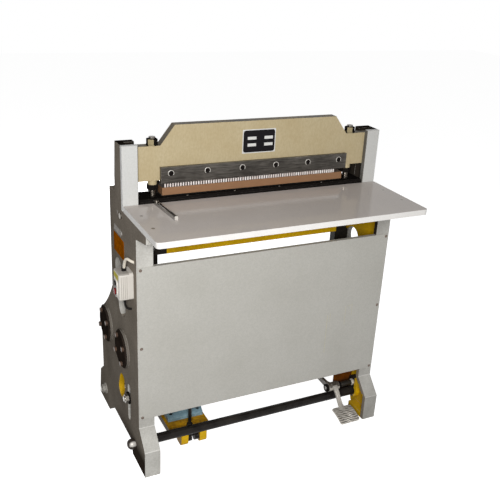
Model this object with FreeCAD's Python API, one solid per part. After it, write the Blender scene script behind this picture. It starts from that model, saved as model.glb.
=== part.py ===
import FreeCAD, Part
import math
import os

# Floor-standing paper punching machine, in millimetres.
# While it is built, x = 0 is the middle between the side frames, y = 0 the front cover's seat,
# z = 0 the floor, +y points to the back. The last step moves it all to the middle of its footprint.

V = FreeCAD.Vector

# Side frames
frame_width = 900.0
web = 20.0
flange_width = 52.0
flange_depth = 16.0
rear_flange_width = 32.0
rear_flange_depth = 12.0
upright_top = 1056.0
cheek_top_y = 195.0
cheek_low_y = 212.0
shoulder_z = 894.0
rear_y = 268.0
flare_top_z = 552.0
flare_low_z = 397.0
flare_sag = 11.0
flare_steps = 8
hip_y = 428.0
foot_step_z = 149.0
foot_knee_z = 113.0
foot_knee_y = 472.0
foot_back_y = 492.0
rear_foot_front_y = 360.0
front_foot_back_y = 76.0
arch_height = 50.0
arch_front_draft = 16.0
arch_rear_slope = 66.0
toe = 58.0
toe_slant_top = 155.5
toe_slant_low = 96.7
foot_pad_back = 43.0
foot_pad_height = 22.0
arm_reach = 94.0
arm_tip_depth = 23.0
arm_root_depth = 42.0
arm_flange = 14.0
upper_window = ((187.0, 645.0), (160.0, 527.0), 38.0)
lower_window = ((195.0, 190.0), (178.0, 228.0), 30.0)
clamp_slot_half = 14.0
clamp_slot_low = 134.0
clamp_slot_high = 248.0

# Bearings and shafts
shaft_z = 371.0
main_y = 156.0
journal = 20.0
bush_wall = 6.0
running_gap = 0.06
boss_proud = 8.0
boss_radius = 66.0
inner_boss_radius = 50.0
inner_boss = 15.0
cap_radius = 60.0
cap_thickness = 5.0
cap_bolt_circle = 48.0
cap_bolt_angle = 62.0
cap_bolts_each = 4
cap_bolt_radius = 4.0
cap_head_radius = 7.5
cap_head = 7.0
shaft_end_gap = 2.0

# Crosshead and its slide
slide_gap = 0.3
gib_thickness = 16.0
gib_front = 124.0
gib_width = 49.0
crosshead_thickness = 30.0
crosshead_low = 940.0
crosshead_above_clamp = 125.0
shoulder_drop = 60.0
shoulder_run = 46.0
shoulder_to_rod = 21.0
rod_to_side = 102.0
rod_radius = 10.0
rod_boss_radius = 14.0
rod_boss = 14.0
nut_across = 30.0
nut_height = 16.0
washer_radius = 18.0
washer_thickness = 3.0
rod_end = 6.0
end_gap = 0.5

# Tooling
pin_pitch = 25.4 / 3.0
pin_size = 4.0
pin_margins = (10.43, 32.4)
pin_gap = 0.3
pin_clear = 1.0
pin_tip_above_slot = 2.0
clamp_end_gap = 9.0
clamp_thickness = 12.0
clamp_low = 931.0
clamp_high = 982.0
clamp_screw_count = 6
clamp_screw_edge = 31.5
clamp_screw_z = 963.0
clamp_head_radius = 8.0
clamp_shank_radius = 5.0
clamp_bite = 16.0
stripper_end_gap = 16.0
stripper_low = 892.0
stripper_thickness = 24.0
slot_height = 5.5
die_end_gap = 0.5
die_thickness = 41.0
die_front = 124.0
die_back = 206.0
die_land = 12.0
chute_half_width = 12.0
chute_past_pins = 8.0
lead_in = 6.0
stripper_front = 138.3
backstop_behind_pins = 5.0
nameplate = (116.0, 76.0, 1.5)
nameplate_drop = 2.5

# Bed
bed_end_to_rod = 35.0
bed_pocket_gap = 0.3
bed_low = 704.0
bed_front = 122.0
bed_back = 206.0
bed_wall = 14.0
bed_top_plate = 20.0
bed_end_plate = 16.0
bed_end_low = 760.0
bed_rear_low = 770.0
bed_ribs = 5
rod_pass_gap = 1.0
bed_bolt_radius = 6.0
bed_bolt_head = 9.0
bed_bolt_edge = 7.5
guide_block_length = 40.0
guide_block_depth = 66.0

# Table and cover
table_top_z = 875.0
table_thickness = 18.0
table_front = -185.0
table_back = 121.6
table_corner = 4.0
table_screw_edge = 26.0
table_screw_ys = (-78.0, 28.0)
cover_low = 190.0
cover_high = 724.0
cover_sheet = 2.0
cover_margin = 2.0
cover_hem = 12.0
cover_screw_edge = 11.6
cover_screw_zs = (196.0, 451.0, 716.0)
cover_head_radius = 5.0

# Cross bar, tie rods, motor tray
bar_y = 50.0
bar_z = 62.0
bar_radius = 16.0
bar_end_radius = 10.0
bar_nut_radius = 14.0
bar_nut = 16.0
bar_nut_wall = 4.0
middle_rod = (104.0, 210.0)
rear_rod = (404.0, 66.0)
tie_radius = 12.0
tie_end_radius = 9.0
tie_nut_across = 27.0
tie_nut = 11.0
tie_washer_radius = 21.0
tie_washer = 4.0
tray_ends = (76.0, 71.0)
tray_front = 70.0
tray_back = 380.0
tray_top = 55.0
tray_plate = 8.0
tray_skirt = 24.0
tray_wall = 6.0
tray_eye_radius = 22.0
lug_width = 26.0
lug_gap = 42.0
screw_from_motor = 2.0
screw_y = 82.0
eye_z = 22.0
eye_radius = 11.0
eye_pin = 5.0
screw_radius = 6.0
screw_nut_across = 19.0
screw_nut = 10.0
eye_half = 7.0
screw_top = 150.0

# Motor and drive
motor_height = 80.0
motor_to_belt = 121.0
motor_foot_length = 130.0
motor_foot_width = 165.0
motor_foot = 12.0
motor_bolt_span_x = 100.0
motor_bolt_span_y = 125.0
motor_front_y = 127.0
motor_radius = 74.0
fin_height = 6.0
fin_count = 28
fan_cover_length = 46.0
fan_slot_radii = (20.0, 34.0, 48.0, 62.0)
fan_slot = 5.0
fan_spoke = 8.0
motor_shaft = 9.5
motor_shaft_bite = 28.0
belt_to_side = 89.0
groove_pitch = 16.0
groove_count = 2
belt_top_width = 13.0
belt_bottom_width = 8.0
belt_height = 8.0
belt_gap = 0.4
pulley_radius = 40.0
flywheel_gap = 12.0
flywheel_width = 40.0
flywheel_web = 12.0
flywheel_rim = 24.0
flywheel_hub = 34.0
flywheel_hole = 20.0
flywheel_holes = 6
gear_module = 5.0
pinion_teeth = 20
gear_teeth = 56
backlash = 0.5
gear_to_side = 173.0
gear_face = 30.0
gear_hub = 34.0
gear_hub_length = 44.0
gear_hole = 26.0
gear_holes = 6

# Eccentrics, yokes, clutch
throw = 5.0
eccentric_radius = 32.0
eccentric_width = 40.0
yoke_width = 54.0
yoke_wall = 12.0
yoke_gap_z = 1.4
yoke_gap_y = 1.0
yoke_neck = 30.0
yoke_shift = -16.0
yoke_top_gap = 4.0
yoke_chamfer = 18.0
collar_radius = 48.0
collar_from_gear = 25.0
collar_width = 26.0
collar_notch = 9.0

# Pedal and trip linkage
pedal_y = 54.0
pedal_z = 98.0
pedal_pin = 8.0
pedal_hub = 17.0
pedal_hub_gap = 3.0
pedal_pin_head = 15.0
pedal_collar = 12.0
pedal_hub_half = 22.0
arm_to_side = 126.0
arm_width = 16.0
plate_back = (-15.0, 50.0)
plate_front = (-88.0, 32.0)
plate_width = 80.0
plate_thickness = 7.0
plate_rib = 2.5
plate_ribs = 7
rear_arm = 96.0
link_from_arm = 14.0
link_thickness = 5.0
link_width = 14.0
link_pin = 4.0
open_pin_gap = 1.0
lever_arm = 46.0
lever_hub = 18.0
lever_past_collar = 4.0
lever_past_link = 8.0
lever_tip = (120.0, 334.0)
bracket_thickness = 16.0
spring_pin_y = 74.0
lever_peg = 3.0
spring_pin_z = 207.0
spring_post_z = 295.0
spring_post = 6.0
spring_radius = 8.0
spring_wire = 1.4
spring_turns = 8
spring_from_link = 1.0

# Switch box and leads
box_depth = 44.0
box_base = 12.0
box_front = 30.0
box_width = 60.0
box_low = 608.0
box_height = 88.0
box_corner = 8.0
bezel = 4.0
bezel_half_width = 17.0
bezel_half_height = 29.0
bezel_z = 643.0
start_z = 659.0
stop_z = 632.0
start_radius = 8.0
stop_radius = 10.5
button_proud = 4.0
button_gap = 0.35
button_seat = 8.0
gland_radius = 7.5
gland = 9.0
supply_lead = 4.5
motor_lead = 3.5
lead_from_wall = 20.0
inlet_from_wall = 26.0
inlet_depth = 44.0
inlet_half = 25.0

# Side guide
guide_width = 12.0
guide_height = 10.0
guide_length = 158.0
guide_groove = 6.0
guide_groove_depth = 5.0
guide_to_side = 100.0
guide_pivot_y = 108.0
guide_angle = 3.6
guide_rest_gap = 0.3
guide_tail = 12.0
guide_screw = 3.0

# Worked out from the sizes above
half = frame_width / 2.0
inner = half - web
centre_distance = gear_module * (gear_teeth + pinion_teeth) / 2.0
counter_y = main_y + centre_distance
rod_x = half - rod_to_side
shoulder_inner_x = rod_x - shoulder_to_rod
top_half = shoulder_inner_x - shoulder_run
crosshead_top = clamp_high + crosshead_above_clamp
crosshead_shoulder = crosshead_top - shoulder_drop
nameplate_z = (clamp_high + crosshead_top) / 2.0 - nameplate_drop
table_screw_x = half - table_screw_edge
cover_screw_x = half - cover_screw_edge
belt_x = belt_to_side - half
motor_centre_x = belt_x + motor_to_belt
tray_left = motor_centre_x - tray_ends[0]
tray_right = motor_centre_x + tray_ends[1]
screw_x = motor_centre_x - screw_from_motor
gear_x = half - gear_to_side
collar_high_x = gear_x - collar_from_gear
collar_low_x = collar_high_x - collar_width
arm_x = half - arm_to_side
pedal_hub_x = (arm_x - pedal_hub_half, arm_x + pedal_hub_half)
link_x = arm_x - link_from_arm
lever_x = (collar_low_x + lever_past_collar, link_x + lever_past_link)
spring_x = link_x + spring_from_link
guide_pivot = (guide_to_side - half, guide_pivot_y)
gib_back = gib_front + gib_thickness
crosshead_front = gib_back + slide_gap
crosshead_back = crosshead_front + crosshead_thickness
cheek_front = crosshead_back + slide_gap
rod_y = crosshead_front + crosshead_thickness / 2.0
table_under = table_top_z - table_thickness
slot_low = stripper_low - slot_height
die_low = slot_low - die_thickness
stripper_half = rod_x - rod_radius - stripper_end_gap
clamp_half = rod_x - rod_radius - clamp_end_gap
bed_half = rod_x - bed_end_to_rod
die_half = half - flange_width - die_end_gap
clamp_screw_pitch = 2.0 * (clamp_half - clamp_screw_edge) / (clamp_screw_count - 1)
pin_first = pin_margins[0] - stripper_half
pin_count = int((stripper_half - pin_margins[1] - pin_first) / pin_pitch) + 1
flywheel_radius = centre_distance - eccentric_radius - throw - yoke_gap_y - yoke_wall - flywheel_gap
pin_top = clamp_screw_z - clamp_shank_radius - pin_clear
bed_top = die_low
pin_row_y = crosshead_front + pin_size / 2.0
pin_tip = stripper_low + pin_tip_above_slot
bush_radius = journal + bush_wall
cap_seat = half + boss_proud
shaft_half = cap_seat - shaft_end_gap
motor_y = motor_front_y + motor_foot_width / 2.0
motor_z = tray_top + motor_height
gear_radius = gear_module * gear_teeth / 2.0
pinion_radius = gear_module * pinion_teeth / 2.0
yoke_top = bed_low - yoke_top_gap
yokes_x = (-rod_x + yoke_shift, rod_x)


def block(x, y, z):
    """Box from three (low, high) pairs."""
    return Part.makeBox(x[1] - x[0], y[1] - y[0], z[1] - z[0], V(x[0], y[0], z[0]))


def rod_along_x(radius, x, y, z):
    return Part.makeCylinder(radius, x[1] - x[0], V(x[0], y, z), V(1, 0, 0))


def rod_along_y(radius, x, y, z):
    return Part.makeCylinder(radius, y[1] - y[0], V(x, y[0], z), V(0, 1, 0))


def rod_along_z(radius, x, y, z):
    return Part.makeCylinder(radius, z[1] - z[0], V(x, y, z[0]), V(0, 0, 1))


def plate_x(points, x):
    """Outline of (y, z) points, extruded along x."""
    corners = [V(x[0], y, z) for y, z in points]
    face = Part.Face(Part.makePolygon(corners + corners[:1]))
    return face.extrude(V(x[1] - x[0], 0, 0))


def plate_y(points, y):
    """Outline of (x, z) points, extruded along y."""
    corners = [V(x, y[0], z) for x, z in points]
    face = Part.Face(Part.makePolygon(corners + corners[:1]))
    return face.extrude(V(0, y[1] - y[0], 0))


def slot_x(a, b, radius, x):
    """Round-ended slot between two (y, z) centres, extruded along x."""
    length = math.hypot(b[0] - a[0], b[1] - a[1])
    side = V(0, -(b[1] - a[1]) / length * radius, (b[0] - a[0]) / length * radius)
    ahead = V(0, (b[0] - a[0]) / length * radius, (b[1] - a[1]) / length * radius)
    first = V(x[0], a[0], a[1])
    last = V(x[0], b[0], b[1])
    edges = [
        Part.LineSegment(first + side, last + side).toShape(),
        Part.Arc(last + side, last + ahead, last - side).toShape(),
        Part.LineSegment(last - side, first - side).toShape(),
        Part.Arc(first - side, first - ahead, first + side).toShape(),
    ]
    return Part.Face(Part.Wire(edges)).extrude(V(x[1] - x[0], 0, 0))


def prism_hex(across, start, axis, length):
    """Hexagon bar with its flats this far apart."""
    axis = V(axis)
    turn = FreeCAD.Rotation(V(0, 0, 1), axis)
    reach = across / math.sqrt(3.0)
    corners = []
    for i in range(6):
        angle = math.radians(60.0 * i + 30.0)
        corners.append(turn.multVec(V(reach * math.cos(angle), reach * math.sin(angle), 0)) + start)
    return Part.Face(Part.makePolygon(corners + corners[:1])).extrude(axis * length)


def other_side(shape):
    """The same piece on the other side of the machine."""
    return shape.mirror(V(0, 0, 0), V(1, 0, 0))


def both_sides(shapes):
    return list(shapes) + [other_side(s) for s in shapes]


def join(shapes):
    """One solid from several, with the seams between flush faces taken out where that works."""
    result = shapes[0]
    if len(shapes) > 1:
        result = result.multiFuse(shapes[1:])
    smooth = result.removeSplitter()
    same = abs(smooth.Volume - result.Volume) < 0.0001 * result.Volume
    return smooth if same and smooth.isValid() else result


def inset(points, depth):
    """The polyline moved sideways to its left by depth, with mitred corners."""
    result = []
    for i, (y, z) in enumerate(points):
        normals = []
        for j in (i - 1, i):
            if 0 <= j < len(points) - 1:
                dy = points[j + 1][0] - points[j][0]
                dz = points[j + 1][1] - points[j][1]
                length = math.hypot(dy, dz)
                normals.append((-dz / length, dy / length))
        ny = sum(n[0] for n in normals) / len(normals)
        nz = sum(n[1] for n in normals) / len(normals)
        scale = depth / (ny * ny + nz * nz)
        result.append((y + ny * scale, z + nz * scale))
    return result


# Side frames

def front_edge():
    """Front outline from the table arm down to the floor, as (y, z)."""
    return [(0.0, table_under - arm_root_depth), (0.0, toe_slant_top), (-toe, toe_slant_low), (-toe, 0.0)]


def rear_edge():
    """Rear outline from the rear foot's knee up over the hollow flare, as (y, z)."""
    run = math.hypot(hip_y - rear_y, flare_top_z - flare_low_z)
    flare = []
    for i in range(flare_steps + 1):
        t = i / flare_steps
        sag = 4.0 * flare_sag * t * (1.0 - t)
        flare.append((hip_y + (rear_y - hip_y) * t - (flare_top_z - flare_low_z) / run * sag,
                      flare_low_z + (flare_top_z - flare_low_z) * t - (hip_y - rear_y) / run * sag))
    return [(hip_y, foot_step_z)] + flare + [(rear_y, shoulder_z)]


def frame_outline():
    arch = [
        (front_foot_back_y, 0.0),
        (front_foot_back_y + arch_front_draft, arch_height),
        (rear_foot_front_y - arch_rear_slope, arch_height),
        (rear_foot_front_y, 0.0),
    ]
    back = [(foot_back_y, 0.0), (foot_knee_y, foot_knee_z)] + rear_edge()
    top = [(cheek_low_y, shoulder_z), (cheek_top_y, upright_top), (gib_back, upright_top)]
    shelf = [(gib_back, table_under), (-arm_reach, table_under), (-arm_reach, table_under - arm_tip_depth)]
    return front_edge() + arch + back + top + shelf


def cap_bolt_places(y):
    places = []
    for i in range(cap_bolts_each):
        angle = math.radians(cap_bolt_angle + i * 360.0 / cap_bolts_each)
        places.append((y + cap_bolt_circle * math.cos(angle), shaft_z + cap_bolt_circle * math.sin(angle)))
    return places


def bed_bolt_places():
    """One bolt through each side frame, then three dowels that end flush with it."""
    return [(bed_front + 22.0, bed_top - bed_bolt_edge), (bed_back - 22.0, bed_top - bed_bolt_edge),
            (bed_front + 22.0, bed_end_low + 20.0), (bed_back - 22.0, bed_end_low + 20.0)]


def gib_bolt_zs():
    low = table_under + 28.0
    high = upright_top - 22.0
    return [low, (low + high) / 2.0, high]


def left_side_frame():
    wall = (-half, -inner)
    solid = plate_x(frame_outline(), wall)
    front = front_edge()
    front_flange = plate_x(front + inset(front, flange_depth)[::-1], (-half, -half + flange_width))
    rear = rear_edge()
    rear_flange = plate_x(rear + inset(rear, rear_flange_depth)[::-1], (-half, -half + rear_flange_width))
    arm_top = block((-half, -half + flange_width), (-arm_reach, gib_back),
                    (table_under - arm_flange, table_under))
    cheek = plate_x([(cheek_front, table_under - arm_flange), (cheek_low_y, table_under - arm_flange),
                     (cheek_low_y, shoulder_z), (cheek_top_y, upright_top), (cheek_front, upright_top)],
                    (-half, -half + flange_width))
    pad = block((-half, -half + flange_width), (-toe + 1.0, foot_pad_back), (0.0, foot_pad_height))
    pieces = [solid, front_flange, rear_flange, arm_top, cheek, pad]
    for y in (main_y, counter_y):
        pieces.append(rod_along_x(boss_radius, (-cap_seat, -half + 1.0), y, shaft_z))
        pieces.append(rod_along_x(inner_boss_radius, (-inner - 1.0, -inner + inner_boss), y, shaft_z))
    solid = join(pieces)
    through = (-half - 20.0, -inner + 40.0)
    cuts = [slot_x(upper_window[0], upper_window[1], upper_window[2], through),
            slot_x(lower_window[0], lower_window[1], lower_window[2], through),
            slot_x((middle_rod[0], clamp_slot_low), (middle_rod[0], clamp_slot_high), clamp_slot_half, through),
            rod_along_x(bar_end_radius, through, bar_y, bar_z),
            rod_along_x(tie_end_radius, through, rear_rod[0], rear_rod[1]),
            block((-inner, -half + flange_width + 1.0), (bed_front - bed_pocket_gap, bed_back + bed_pocket_gap),
                  (table_under - arm_flange - 1.0, bed_top + bed_pocket_gap))]
    for y in (main_y, counter_y):
        cuts.append(rod_along_x(bush_radius, through, y, shaft_z))
        for by, bz in cap_bolt_places(y):
            cuts.append(rod_along_x(cap_bolt_radius, (-half - 20.0, -inner), by, bz))
    for y, z in bed_bolt_places():
        cuts.append(rod_along_x(bed_bolt_radius, through, y, z))
    for z in cover_screw_zs:
        cuts.append(rod_along_y(2.5, -cover_screw_x, (-1.0, flange_depth - 2.0), z))
    for y in table_screw_ys:
        cuts.append(rod_along_z(2.5, -table_screw_x, y, (table_under - arm_flange + 2.0, table_under + 1.0)))
    for z in gib_bolt_zs():
        cuts.append(rod_along_y(4.0, -half + web / 2.0, (gib_back - 1.0, cheek_low_y + 1.0), z))
        cuts.append(rod_along_y(7.5, -half + web / 2.0, (cheek_top_y - 12.0, cheek_low_y + 1.0), z))
    return solid.cut(cuts)


def lead_holes():
    """Where the two switch leads pass through the left frame."""
    through = (-half - 5.0, -inner + 5.0)
    return [rod_along_x(supply_lead, through, supply_hole[0], supply_hole[1]),
            rod_along_x(motor_lead, through, motor_hole[0], motor_hole[1])]


def front_gibs():
    gib = block((-half, -half + gib_width), (gib_front, gib_back), (table_under, upright_top))
    gib = gib.makeChamfer(1.5, [e for e in gib.Edges if abs(e.BoundBox.YMax - gib_front) < 0.01])
    for z in gib_bolt_zs():
        gib = gib.cut(rod_along_y(4.0, -half + web / 2.0, (gib_back - 10.0, gib_back + 1.0), z))
    return both_sides([gib])


def gib_bolts():
    bolts = []
    seat = cheek_top_y - 12.0
    for z in gib_bolt_zs():
        x = -half + web / 2.0
        shank = rod_along_y(4.0, x, (gib_back - 10.0, seat + 1.0), z)
        head = rod_along_y(7.0, x, (seat, seat + 8.0), z)
        bolts.append(join([shank, head]))
    return both_sides(bolts)


# Bearings

def bearing_bushes():
    bushes = []
    for y in (main_y, counter_y):
        span = (-cap_seat, -inner + inner_boss)
        ring = rod_along_x(bush_radius, span, y, shaft_z)
        bushes.append(ring.cut(rod_along_x(journal + running_gap, span, y, shaft_z)))
    return both_sides(bushes)


def bearing_caps():
    caps = []
    for y in (main_y, counter_y):
        span = (-cap_seat - cap_thickness, -cap_seat)
        cap = rod_along_x(cap_radius, span, y, shaft_z)
        rim = [e for e in cap.Edges if abs(e.BoundBox.XMax - span[0]) < 0.01 and e.Length > 100.0]
        cap = cap.makeChamfer(3.0, rim)
        holes = [rod_along_x(cap_bolt_radius, (span[0] - 1.0, span[1] + 1.0), by, bz)
                 for by, bz in cap_bolt_places(y)]
        caps.append(cap.cut(holes))
    return both_sides(caps)


def cap_bolts():
    bolts = []
    face = -cap_seat - cap_thickness
    for y in (main_y, counter_y):
        for by, bz in cap_bolt_places(y):
            shank = rod_along_x(cap_bolt_radius, (face - 1.0, -inner), by, bz)
            head = prism_hex(2.0 * cap_head_radius, V(face, by, bz), V(-1, 0, 0), cap_head)
            bolts.append(join([shank, head]))
    return both_sides(bolts)


# Bed, die and table

def bed_beam():
    top = block((-inner, inner), (bed_front, bed_back), (bed_top - bed_top_plate, bed_top))
    front = block((-bed_half, bed_half), (bed_front, bed_front + bed_wall), (bed_low, bed_top - 1.0))
    rear = block((-bed_half, bed_half), (bed_back - bed_wall, bed_back), (bed_rear_low, bed_top - 1.0))
    pieces = [top, front, rear]
    pitch = (2.0 * bed_half - bed_wall) / (bed_ribs - 1)
    for i in range(bed_ribs):
        x = -bed_half + bed_wall / 2.0 + i * pitch
        pieces.append(plate_x([(bed_front + 1.0, bed_low + 20.0), (bed_back - 1.0, bed_rear_low),
                               (bed_back - 1.0, bed_top - 1.0), (bed_front + 1.0, bed_top - 1.0)],
                              (x - bed_wall / 2.0, x + bed_wall / 2.0)))
    for x in ((-inner, -inner + bed_end_plate), (inner - bed_end_plate, inner)):
        pieces.append(block(x, (bed_front, bed_back), (bed_end_low, bed_top - 1.0)))
    beam = join(pieces)
    cuts = [block((-bed_half + 2.0 * bed_wall, bed_half - 2.0 * bed_wall),
                  (pin_row_y - chute_half_width, pin_row_y + chute_half_width),
                  (bed_top - bed_top_plate - 1.0, bed_top + 1.0))]
    for x in (-rod_x, rod_x):
        cuts.append(rod_along_z(rod_radius + rod_pass_gap, x, rod_y, (bed_top - 30.0, bed_top + 5.0)))
    for y, z in bed_bolt_places():
        cuts.append(rod_along_x(bed_bolt_radius, (-half, half), y, z))
    return beam.cut(cuts)


def bed_bolts():
    y, z = bed_bolt_places()[0]
    depth = -inner + bed_end_plate - 2.0
    shank = rod_along_x(bed_bolt_radius, (-half - 1.0, depth), y, z)
    head = rod_along_x(bed_bolt_head, (-half - 5.0, -half), y, z)
    bolts = [join([shank, head])]
    for y, z in bed_bolt_places()[1:]:
        bolts.append(rod_along_x(bed_bolt_radius, (-half, depth), y, z))
    return both_sides(bolts)


def rod_guides():
    """Blocks on the ends of the beam, each with a groove that its pull rod runs in."""
    groove = rod_along_z(rod_radius + rod_pass_gap, -rod_x, rod_y, (bed_low - 1.0, bed_top))
    block_x = (-bed_half - guide_block_length, -bed_half)
    guide = block(block_x, (bed_front, bed_front + guide_block_depth), (bed_low, bed_top - bed_top_plate))
    way_out = block((block_x[0] - 1.0, -rod_x), (rod_y - rod_radius - rod_pass_gap, rod_y + rod_radius + rod_pass_gap),
                    (bed_low - 1.0, bed_top))
    return both_sides([guide.cut([groove, way_out])])


def pin_xs():
    return [pin_first + i * pin_pitch for i in range(pin_count)]


def pin_holes(z, gap):
    reach = pin_size / 2.0 + gap
    return [block((x - reach, x + reach), (pin_row_y - reach, pin_row_y + reach), z) for x in pin_xs()]


def die_screw_places():
    pitch = 2.0 * stripper_half / 4.0
    return [((i - 1.5) * pitch, die_front + lead_in + 4.0) for i in range(4)]


def die_base():
    outline = [(die_front, die_low), (die_back, die_low), (die_back, slot_low),
               (die_front + lead_in, slot_low), (die_front, slot_low - lead_in)]
    base = plate_x(outline, (-die_half, die_half))
    chute = block((pin_xs()[0] - chute_past_pins, pin_xs()[-1] + chute_past_pins),
                  (pin_row_y - chute_half_width, pin_row_y + chute_half_width),
                  (die_low - 1.0, slot_low - die_land))
    cuts = [chute] + pin_holes((slot_low - die_land - 1.0, slot_low + 1.0), pin_gap)
    for x, y in die_screw_places():
        cuts.append(rod_along_z(3.0, x, y, (slot_low - die_thickness / 2.0, slot_low + 1.0)))
    for x in (-rod_x, rod_x):
        cuts.append(rod_along_z(rod_radius + rod_pass_gap, x, rod_y, (die_low - 1.0, slot_low + 1.0)))
    return base.cut(cuts)


def die_screws():
    return [rod_along_z(3.0, x, y, (slot_low - die_thickness / 2.0, slot_low - 0.2))
            for x, y in die_screw_places()]


def paper_backstop():
    front = pin_row_y + pin_size / 2.0 + backstop_behind_pins
    return block((-stripper_half, stripper_half), (front, die_back), (slot_low, stripper_low))


def stripper_plate():
    plate = block((-stripper_half, stripper_half), (stripper_front, die_back),
                  (stripper_low, stripper_low + stripper_thickness))
    return plate.cut(pin_holes((stripper_low - 1.0, stripper_low + stripper_thickness + 1.0), pin_gap))


def table():
    board = block((-half, half), (table_front, table_back), (table_under, table_top_z))
    upright = [e for e in board.Edges if e.BoundBox.ZLength > table_thickness - 0.1]
    board = board.makeFillet(table_corner, upright)
    cuts = [rod_along_z(guide_screw, guide_pivot[0], guide_pivot[1], (table_under + 6.0, table_top_z + 1.0))]
    for x in (-table_screw_x, table_screw_x):
        for y in table_screw_ys:
            cuts.append(rod_along_z(2.5, x, y, (table_under - 1.0, table_top_z + 1.0)))
            cuts.append(Part.makeCone(2.5, 5.0, 3.0, V(x, y, table_top_z - 3.0)))
    return board.cut(cuts)


def table_screws():
    screws = []
    for x in (-table_screw_x, table_screw_x):
        for y in table_screw_ys:
            shank = rod_along_z(2.5, x, y, (table_under - arm_flange + 2.0, table_top_z - 2.5))
            head = Part.makeCone(2.5, 5.0, 3.0, V(x, y, table_top_z - 3.0))
            screws.append(join([shank, head]))
    return screws


def front_cover():
    reach = half - cover_margin
    sheet = block((-reach, reach), (-cover_sheet, 0.0), (cover_low, cover_high))
    between = half - flange_width - 1.0
    hem_low = block((-between, between), (-0.5, cover_hem), (cover_low, cover_low + cover_sheet))
    hem_high = block((-between, between), (-0.5, cover_hem), (cover_high - cover_sheet, cover_high))
    holes = []
    for x in (-cover_screw_x, cover_screw_x):
        for z in cover_screw_zs:
            holes.append(rod_along_y(2.5, x, (-cover_sheet - 1.0, 1.0), z))
    return join([sheet, hem_low, hem_high]).cut(holes)


def cover_screws():
    screws = []
    for z in cover_screw_zs:
        shank = rod_along_y(2.5, -cover_screw_x, (-cover_sheet - 0.5, flange_depth - 2.0), z)
        head = rod_along_y(cover_head_radius, -cover_screw_x, (-cover_sheet - 2.2, -cover_sheet), z)
        head = head.makeChamfer(1.2, [e for e in head.Edges if abs(e.BoundBox.YMax - head.BoundBox.YMin) < 0.01])
        screws.append(join([shank, head]))
    return both_sides(screws)


# Crosshead and tooling

def crosshead():
    reach = inner - end_gap
    right = [(reach, crosshead_low), (reach, crosshead_shoulder), (shoulder_inner_x, crosshead_shoulder),
             (top_half, crosshead_top)]
    outline = right + [(-x, z) for x, z in right[::-1]]
    beam = plate_y(outline, (crosshead_front, crosshead_back))
    bosses = [rod_along_z(rod_boss_radius, x, rod_y, (crosshead_low - rod_boss, crosshead_low + 1.0))
              for x in (-rod_x, rod_x)]
    cuts = [rod_along_z(rod_radius, x, rod_y, (crosshead_low - 20.0, crosshead_shoulder + 5.0))
            for x in (-rod_x, rod_x)]
    first = pin_xs()[0] - pin_pitch
    last = pin_xs()[-1] + pin_pitch
    cuts.append(block((first, last), (crosshead_front - 1.0, crosshead_front + pin_size),
                      (crosshead_low - 1.0, pin_top)))
    for x in clamp_screw_xs():
        cuts.append(rod_along_y(clamp_shank_radius, x, (crosshead_front - 1.0, crosshead_front + clamp_bite),
                                clamp_screw_z))
    return join([beam] + bosses).cut(cuts)


def clamp_screw_xs():
    return [(i - (clamp_screw_count - 1) / 2.0) * clamp_screw_pitch for i in range(clamp_screw_count)]


def clamp_plate():
    plate = block((-clamp_half, clamp_half), (crosshead_front - clamp_thickness, crosshead_front),
                  (clamp_low, clamp_high))
    front = [e for e in plate.Edges if abs(e.BoundBox.YMax - plate.BoundBox.YMin) < 0.01]
    plate = plate.makeChamfer(1.0, front)
    cuts = []
    for x in clamp_screw_xs():
        cuts.append(rod_along_y(clamp_shank_radius, x, (crosshead_front - clamp_thickness - 1.0,
                                                        crosshead_front + 1.0), clamp_screw_z))
        cuts.append(rod_along_y(clamp_head_radius, x, (crosshead_front - clamp_thickness - 1.0,
                                                       crosshead_front - clamp_thickness + 7.0), clamp_screw_z))
    return plate.cut(cuts)


def clamp_screws():
    screws = []
    face = crosshead_front - clamp_thickness
    for x in clamp_screw_xs():
        shank = rod_along_y(clamp_shank_radius, x, (face + 6.0, crosshead_front + clamp_bite), clamp_screw_z)
        head = rod_along_y(clamp_head_radius, x, (face - 1.5, face + 7.0), clamp_screw_z)
        socket = prism_hex(8.0, V(x, face - 2.0, clamp_screw_z), V(0, 1, 0), 5.0)
        screws.append(join([shank, head]).cut(socket))
    return screws


def punch_pins():
    reach = pin_size / 2.0
    pins = []
    for x in pin_xs():
        pins.append(block((x - reach, x + reach), (pin_row_y - reach, pin_row_y + reach), (pin_tip, pin_top)))
    return pins


def name_plate():
    width, height, thickness = nameplate
    return block((-width / 2.0, width / 2.0), (crosshead_front - thickness, crosshead_front),
                 (nameplate_z - height / 2.0, nameplate_z + height / 2.0))


def pull_rods():
    top = crosshead_shoulder + washer_thickness + nut_height + rod_end
    return [rod_along_z(rod_radius, x, rod_y, (yoke_top, top)) for x in (-rod_x, rod_x)]


def rod_nuts():
    nuts = []
    for x in (-rod_x, rod_x):
        washer = rod_along_z(washer_radius, x, rod_y, (crosshead_shoulder, crosshead_shoulder + washer_thickness))
        top = prism_hex(nut_across, V(x, rod_y, crosshead_shoulder + washer_thickness), V(0, 0, 1), nut_height)
        low = prism_hex(nut_across, V(x, rod_y, crosshead_low - rod_boss - nut_height), V(0, 0, 1), nut_height)
        bore = rod_along_z(rod_radius, x, rod_y, (crosshead_low - 60.0, crosshead_shoulder + 60.0))
        nuts += [washer.cut(bore), top.cut(bore), low.cut(bore)]
    return nuts


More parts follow.
